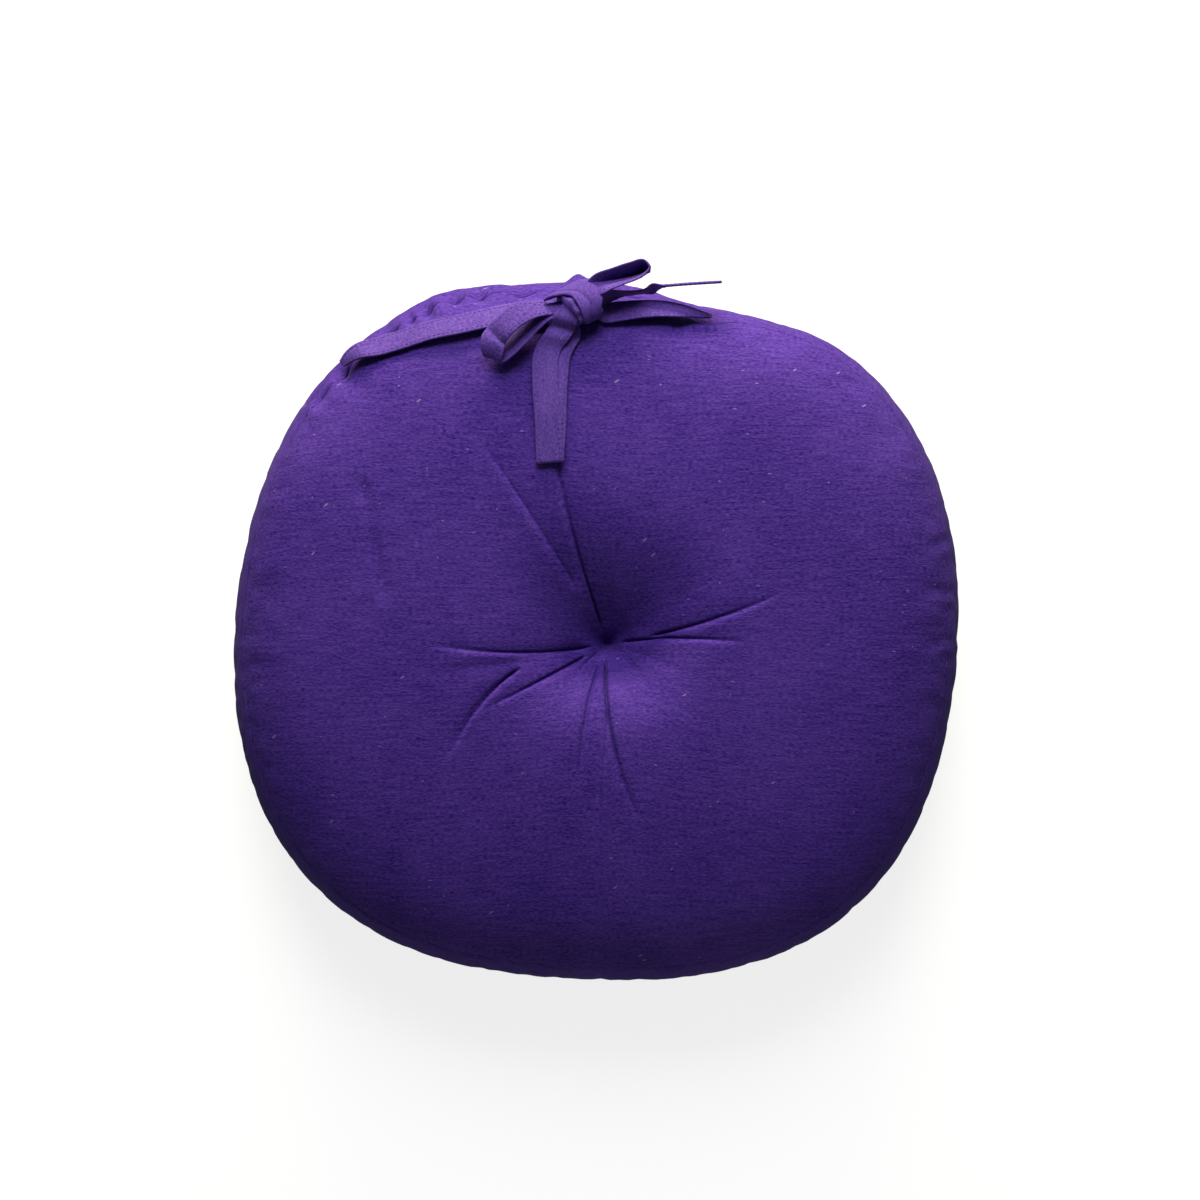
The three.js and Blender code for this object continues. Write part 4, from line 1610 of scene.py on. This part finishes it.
@dataclass
class Strip:
    """A folded and topstitched strip of cotton, swept through its rows. Its sizes are in millimetres.

    A row that lies on the pad finds its surface straight below a height above the whole part.
    """

    rows: tuple[Row, ...]
    hemmed: bool = False
    thickness: float = 1.6
    edge_power: float = 7.0
    edge_round: float = 0.4
    steps_per_row: int = 9
    side_points: int = 15
    stitch_inset: float = 2.0
    stitch_reach: float = 0.3
    stitch_dent: float = 0.22
    stitch_lift: float = 0.05
    dent_width: float = 0.7
    hem: float = 2.6
    hem_points: int = 9
    find_from: float = 200.0

    def sections(self, pad: BVHTree) -> tuple[np.ndarray, np.ndarray, np.ndarray, np.ndarray]:
        """The strip's middle line, its sideways and upward directions and its widths.

        Args:
            pad: The pad's surface, for rows that lie on it.

        Returns:
            Points, unit directions across and out of the cloth, and a table of width and cup.
        """
        table = np.array([self._settled(row, pad) for row in self.rows], float)
        line = smooth_path(table, self.steps_per_row)
        middle = line[:, :3]
        turn = np.radians(line[:, 3])
        slope = np.radians(line[:, 4])
        level = np.cos(slope)
        side = np.stack([np.cos(turn) * level, np.sin(turn) * level, np.sin(slope)], axis=1)
        along = np.gradient(middle, axis=0)
        face = np.cross(along, side)
        face /= np.linalg.norm(face, axis=1, keepdims=True)
        return middle, side, face, line[:, 5:]

    def _settled(self, row: Row, pad: BVHTree) -> list[float]:
        """A row's numbers, with its height above the floor.

        Args:
            row: The row.
            pad: The pad's surface.

        Returns:
            The row's place, turn, slope, width and cup.
        """
        height = row.height
        if row.on_pad:
            hit, _, _, _ = pad.ray_cast(Vector((row.x, row.y, self.find_from)), Vector((0.0, 0.0, -1.0)))
            height += hit.z
        return [row.x, row.y, height, row.turn, row.slope, row.width, row.cup]

    def build(self, cloth: ClothMesh, pad: BVHTree, offset: float) -> tuple[list[np.ndarray], float]:
        """Adds the strip to a piece of cloth.

        Args:
            cloth: The piece that it belongs to.
            pad: The pad's surface.
            offset: Where the strip starts on the cloth map, in millimetres.

        Returns:
            The lines of its topstitching, and its length.
        """
        middle, side, face, sizes = self.sections(pad)
        half = sizes[:, [0]] / 2.0
        share = np.sin(np.pi / 2.0 * np.linspace(-1.0, 1.0, self.side_points))
        thick = self._half_thickness(share, half)
        arch = sizes[:, [1]] * (1.0 - share**2)
        upper = arch + thick
        lower = arch - thick
        across = np.hstack([share * half, (share * half)[:, -2:0:-1]])
        out = np.hstack([upper, lower[:, -2:0:-1]])
        rings = middle[:, None] + across[:, :, None] * side[:, None] + out[:, :, None] * face[:, None]
        lengths = np.linalg.norm(np.diff(middle, axis=0), axis=1)
        along = offset + np.concatenate([[0.0], np.cumsum(lengths)])
        girth = np.concatenate([across[-1], across[-1][:1]])
        cloth.add_tube(rings[:, ::-1], girth[::-1], along)
        return self._stitch_lines(middle, side, face, sizes), float(lengths.sum())

    def _half_thickness(self, share: np.ndarray, half: np.ndarray) -> np.ndarray:
        """Half of the strip's thickness across its width.

        Args:
            share: Places across the strip, from -1 to 1.
            half: Half of the width of each section.

        Returns:
            The half thickness, with rounded edges and a dent along each stitch line.
        """
        rounded = (1.0 - np.abs(share) ** self.edge_power) ** self.edge_round
        inset = half * (1.0 - np.abs(share)) - self.stitch_inset
        dent = self.stitch_dent * bell(inset, self.dent_width)
        return np.maximum(self.thickness / 2.0 * rounded - dent, 0.0)

    def _stitch_lines(
        self, middle: np.ndarray, side: np.ndarray, face: np.ndarray, sizes: np.ndarray
    ) -> list[np.ndarray]:
        """The lines of topstitching on both faces, just in the cloth.

        Args:
            middle: The strip's middle line.
            side: Directions across the cloth.
            face: Directions out of the cloth.
            sizes: The width and cup of each section.

        Returns:
            Lines along both edges, and across the end if it is hemmed.
        """
        lines = []
        half = sizes[:, [0]] / 2.0
        reach = np.maximum(half - self.stitch_inset, self.stitch_reach)
        arch = sizes[:, [1]] * (1.0 - (reach / half) ** 2)
        along = np.concatenate([[0.0], np.cumsum(np.linalg.norm(np.diff(middle, axis=0), axis=1))])
        kept = (along > self.hem) & (along < along[-1] - self.hem)
        last = np.flatnonzero(kept)[-1]
        share = np.linspace(-1.0, 1.0, self.hem_points)[:, None]
        for up in (-1.0, 1.0):
            rise = up * (self.thickness / 2.0 - self.stitch_dent + self.stitch_lift)
            for edge in (-1.0, 1.0):
                lines.append((middle + edge * reach * side + (arch + rise) * face)[kept])
            if self.hemmed:
                bow = sizes[last, 1] * (1.0 - (share * reach[last] / half[last]) ** 2)
                lines.append(middle[last] + share * reach[last] * side[last] + (bow + rise) * face[last])
        return lines


@dataclass
class Tie:
    """One of the two ties: its strips, and its share of the knot."""

    name: str
    node: str
    strips: tuple[Strip, ...]
    knot: Knot
    finish: bpy.types.Material
    has_band: bool
    gather: Gather
    width: float = TIE_WIDTH
    thing: bpy.types.Object = field(init=False)
    stitch_lines: list = field(default_factory=list)
    length: float = 0.0

    def build(self, pad: BVHTree) -> bpy.types.Object:
        """Makes the tie's mesh.

        Args:
            pad: The pad's surface.

        Returns:
            The tie's object.
        """
        cloth = ClothMesh()
        for strip in self.strips:
            lines, length = strip.build(cloth, pad, self.length)
            self.stitch_lines += lines
            self.length += length
        self._gathered(cloth)
        if self.has_band:
            self._band(cloth)
        self.thing = cloth.object(self.name)
        return self.thing

    def _gathered(self, cloth: ClothMesh) -> None:
        """Adds the gathered cloth inside the knot.

        Args:
            cloth: The tie's cloth.
        """
        knot = self.knot
        gather = self.gather
        angle = knot.turns()
        inner = knot.inner_share()
        pleat = 1.0 + knot.gather_pleat_share * np.sin(knot.gather_pleats * angle)
        across = pleat * (inner * knot.half_width - gather.gap) * np.cos(angle)
        height = pleat * (inner * knot.half_height - gather.gap) * np.sin(angle)
        places = np.linspace(gather.low, gather.high, knot.gather_rings)
        shape = [np.stack([across, np.full_like(across, place), height], axis=1) for place in places]
        rings = np.array([knot.place(ring) for ring in shape])
        girth = knot.half_width * np.append(angle, FULL_TURN)
        cloth.add_tube(rings[:, ::-1], girth[::-1], places)

    def _band(self, cloth: ClothMesh) -> None:
        """Adds the band around the knot, which spreads like a hood over its top and has a pleat.

        Args:
            cloth: The tie's cloth.
        """
        knot = self.knot
        angle = knot.turns()
        inner = knot.inner_share()
        outside = np.linspace(0.0, 1.0, knot.skin_points)
        inside = np.linspace(1.0, 0.0, knot.lining_points + 2)[1:-1]
        share = np.concatenate([outside, inside])
        rounded = np.sqrt(1.0 - np.abs(2.0 * outside - 1.0) ** knot.rim_power)
        skin = np.concatenate([rounded, np.zeros_like(inside)])
        table = np.array([(rim.across, rim.left, rim.pleat, rim.right) for rim in BAND_RIMS])
        rings = []
        for turn in angle:
            across = knot.half_width * math.cos(turn)
            over = float(smoothstep(math.sin(turn), *knot.hood))
            left, pleat, right = (np.interp(across, table[:, 0], table[:, k]) for k in (1, 2, 3))
            left = lerp(-knot.under_rim, left, over)
            right = lerp(knot.under_rim, right, over)
            place = lerp(left, right, share)
            groove = knot.pleat_depth * over * skin * np.exp(-np.abs(place - pleat) / knot.pleat_width)
            neck = 1.0 - knot.neck_share * smoothstep(place, *knot.neck)
            reach = neck * (inner + (1.0 - inner) * skin - groove / knot.half_height)
            height = reach * knot.half_height * math.sin(turn)
            rings.append(knot.place(np.stack([reach * across, place, height], axis=1)))
        girth = np.append(share, share[0]) * 2.0 * knot.half_width
        around = knot.half_width * np.append(angle, FULL_TURN)
        cloth.add_tube(np.array(rings), girth, around, closed=True)
        self.length += knot.way_around()

    def dress(self, stitches: bpy.types.Object) -> None:
        """Gives the tie its cotton, its stitches and its place in the frame.

        Args:
            stitches: The tie's stitches.
        """
        self.thing.data.materials.append(self.finish)
        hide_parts(self.node)
        for piece in (self.thing, stitches):
            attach(piece, BODY)


# Studio


@dataclass(frozen=True)
class Lamp:
    """An area light: its place, width and height in metres, its power in watts and its colour."""

    name: str
    place: tuple[float, float, float]
    size: tuple[float, float]
    power: float
    colour: tuple[float, float, float]


# A broad window and a low warm one beyond the back edge, and a weak light from the front of the room
LAMPS = (
    Lamp("window", (-0.05, 1.18, 0.93), (1.0, 0.7), 25.0, (1.0, 1.0, 1.0)),
    Lamp("low_window", (-0.05, 1.6, 0.24), (1.2, 0.36), 78.0, (1.0, 0.96, 0.56)),
    Lamp("room_side", (0.3, -1.3, 0.7), (1.4, 0.8), 3.6, (1.0, 1.0, 0.9)),
)


@dataclass
class Studio:
    """The floor, the light and the camera, in metres and degrees. The lens is in millimetres."""

    paper: Paper
    target: tuple[float, float, float] = (0.00204, 0.0136, 0.031)
    distance: float = 1.1
    elevation: float = 86.0
    lens: float = 59.86
    sensor: float = 36.0
    floor_size: float = 6.0
    ambient: float = 0.11
    ambient_colour: tuple = (0.86, 0.86, 1.0, 1.0)
    wall_colour: tuple = (0.9, 0.9, 0.9, 1.0)

    def build(self) -> None:
        """Sets up the studio."""
        self._floor()
        for lamp in LAMPS:
            self._hang(lamp)
        self._room()
        self._camera()
        bpy.context.scene.view_settings.view_transform = "Standard"

    def _floor(self) -> None:
        """Lays the paper floor."""
        corners = np.array([[-1, -1, 0], [1, -1, 0], [1, 1, 0], [-1, 1, 0]], float)
        floor = new_object("floor", self.floor_size / MM / 2.0 * corners, [[0, 1, 2, 3]], smooth=False)
        floor.data.materials.append(self.paper.material())
        floor.visible_diffuse = False
        floor.visible_glossy = False

    def _room(self) -> None:
        """Lights the room evenly and faintly, and shows its walls as pale as the paper."""
        world = bpy.data.worlds.new("room")
        world.use_nodes = True
        bench = NodeBench(world.node_tree)
        light = bench.tree.nodes["Background"]
        bench.wire(light, Color=self.ambient_colour, Strength=self.ambient)
        wall = bench.add("ShaderNodeBackground", Color=self.wall_colour)
        in_view = bench.add("ShaderNodeLightPath").outputs["Is Camera Ray"]
        seen = bench.add("ShaderNodeMixShader", n0=in_view, n1=light.outputs[0], n2=wall.outputs[0])
        bench.wire(bench.tree.nodes["World Output"], Surface=seen.outputs[0])
        bpy.context.scene.world = world

    def _hang(self, lamp: Lamp) -> None:
        """Hangs an area light that faces the pad and leaves no glare on it.

        Args:
            lamp: The light's sizes.
        """
        light = bpy.data.lights.new(lamp.name, "AREA")
        light.color = lamp.colour
        light.shape = "RECTANGLE"
        light.size, light.size_y = lamp.size
        light.energy = lamp.power
        thing = add_object(lamp.name, light)
        thing.location = lamp.place
        way = Vector(self.target) - Vector(lamp.place)
        thing.rotation_euler = way.to_track_quat("-Z", "Y").to_euler()
        thing.visible_glossy = False

    def _camera(self) -> None:
        """Sets up the camera almost straight above the pad, a little in front of it."""
        lens = bpy.data.cameras.new("camera")
        lens.lens = self.lens
        lens.sensor_width = self.sensor
        rise = math.radians(self.elevation)
        back = Vector((0.0, -math.cos(rise), math.sin(rise)))
        thing = add_object("camera", lens)
        thing.location = Vector(self.target) + self.distance * back
        thing.rotation_euler = (-back).to_track_quat("-Z", "Y").to_euler()
        bpy.context.scene.camera = thing


def report(piece: bpy.types.Object) -> None:
    """Logs a finished piece."""
    LOG.info("%s: %d faces", piece.name, len(piece.data.polygons))


def build_ties(knot: Knot) -> tuple[Tie, Tie]:
    """The two ties of the bow, not yet made.

    Args:
        knot: The knot that they meet in.

    Returns:
        The left tie and the right one, which goes around the knot.
    """
    cotton = TIE_COTTON.material()
    left_strips = (
        Strip(LEFT_STRAP),
        Strip(LEFT_LOOP),
        Strip(FRONT_TAIL, hemmed=True),
        Strip(TAIL_BACK_PLY, hemmed=True),
    )
    right_strips = (Strip(RIGHT_STRAP), Strip(RIGHT_LOOP), Strip(RIGHT_TAIL, hemmed=True))
    left_gather = Gather(low=-9.0, high=1.4, gap=0.5)
    right_gather = Gather(low=2.0, high=6.0, gap=-0.4)
    left = Tie("left_tie", "tie_left", left_strips, knot, cotton, False, left_gather)
    right = Tie("right_tie", "tie_right", right_strips, knot, cotton, True, right_gather)
    return left, right


def main() -> None:
    """Builds the pad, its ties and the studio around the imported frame."""
    logging.basicConfig(level=logging.INFO, format="%(name)s: %(message)s")
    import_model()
    Studio(Paper()).build()

    tree = StitchTree()
    thread = Thread().material()
    pad = Pad(PadForm(), COVER_COTTON)
    report(pad.build())
    pad.dress()
    seams = Stitching("cover_stitches", tree, thread, pitch=3.2, length=2.3, thickness=0.55)
    seam_stitches = seams.build(pad.seam_runs())
    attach(seam_stitches, BODY)
    report(seam_stitches)

    surface = pad.surface()
    for tie in build_ties(Knot()):
        report(tie.build(surface))
        topstitches = Stitching(tie.name + "_stitches", tree, thread).build(tie.stitch_lines)
        tie.dress(topstitches)
        report(topstitches)
        LOG.info("%s: %.0f mm of strip", tie.name, tie.length)


if __name__ == "__main__":
    main()
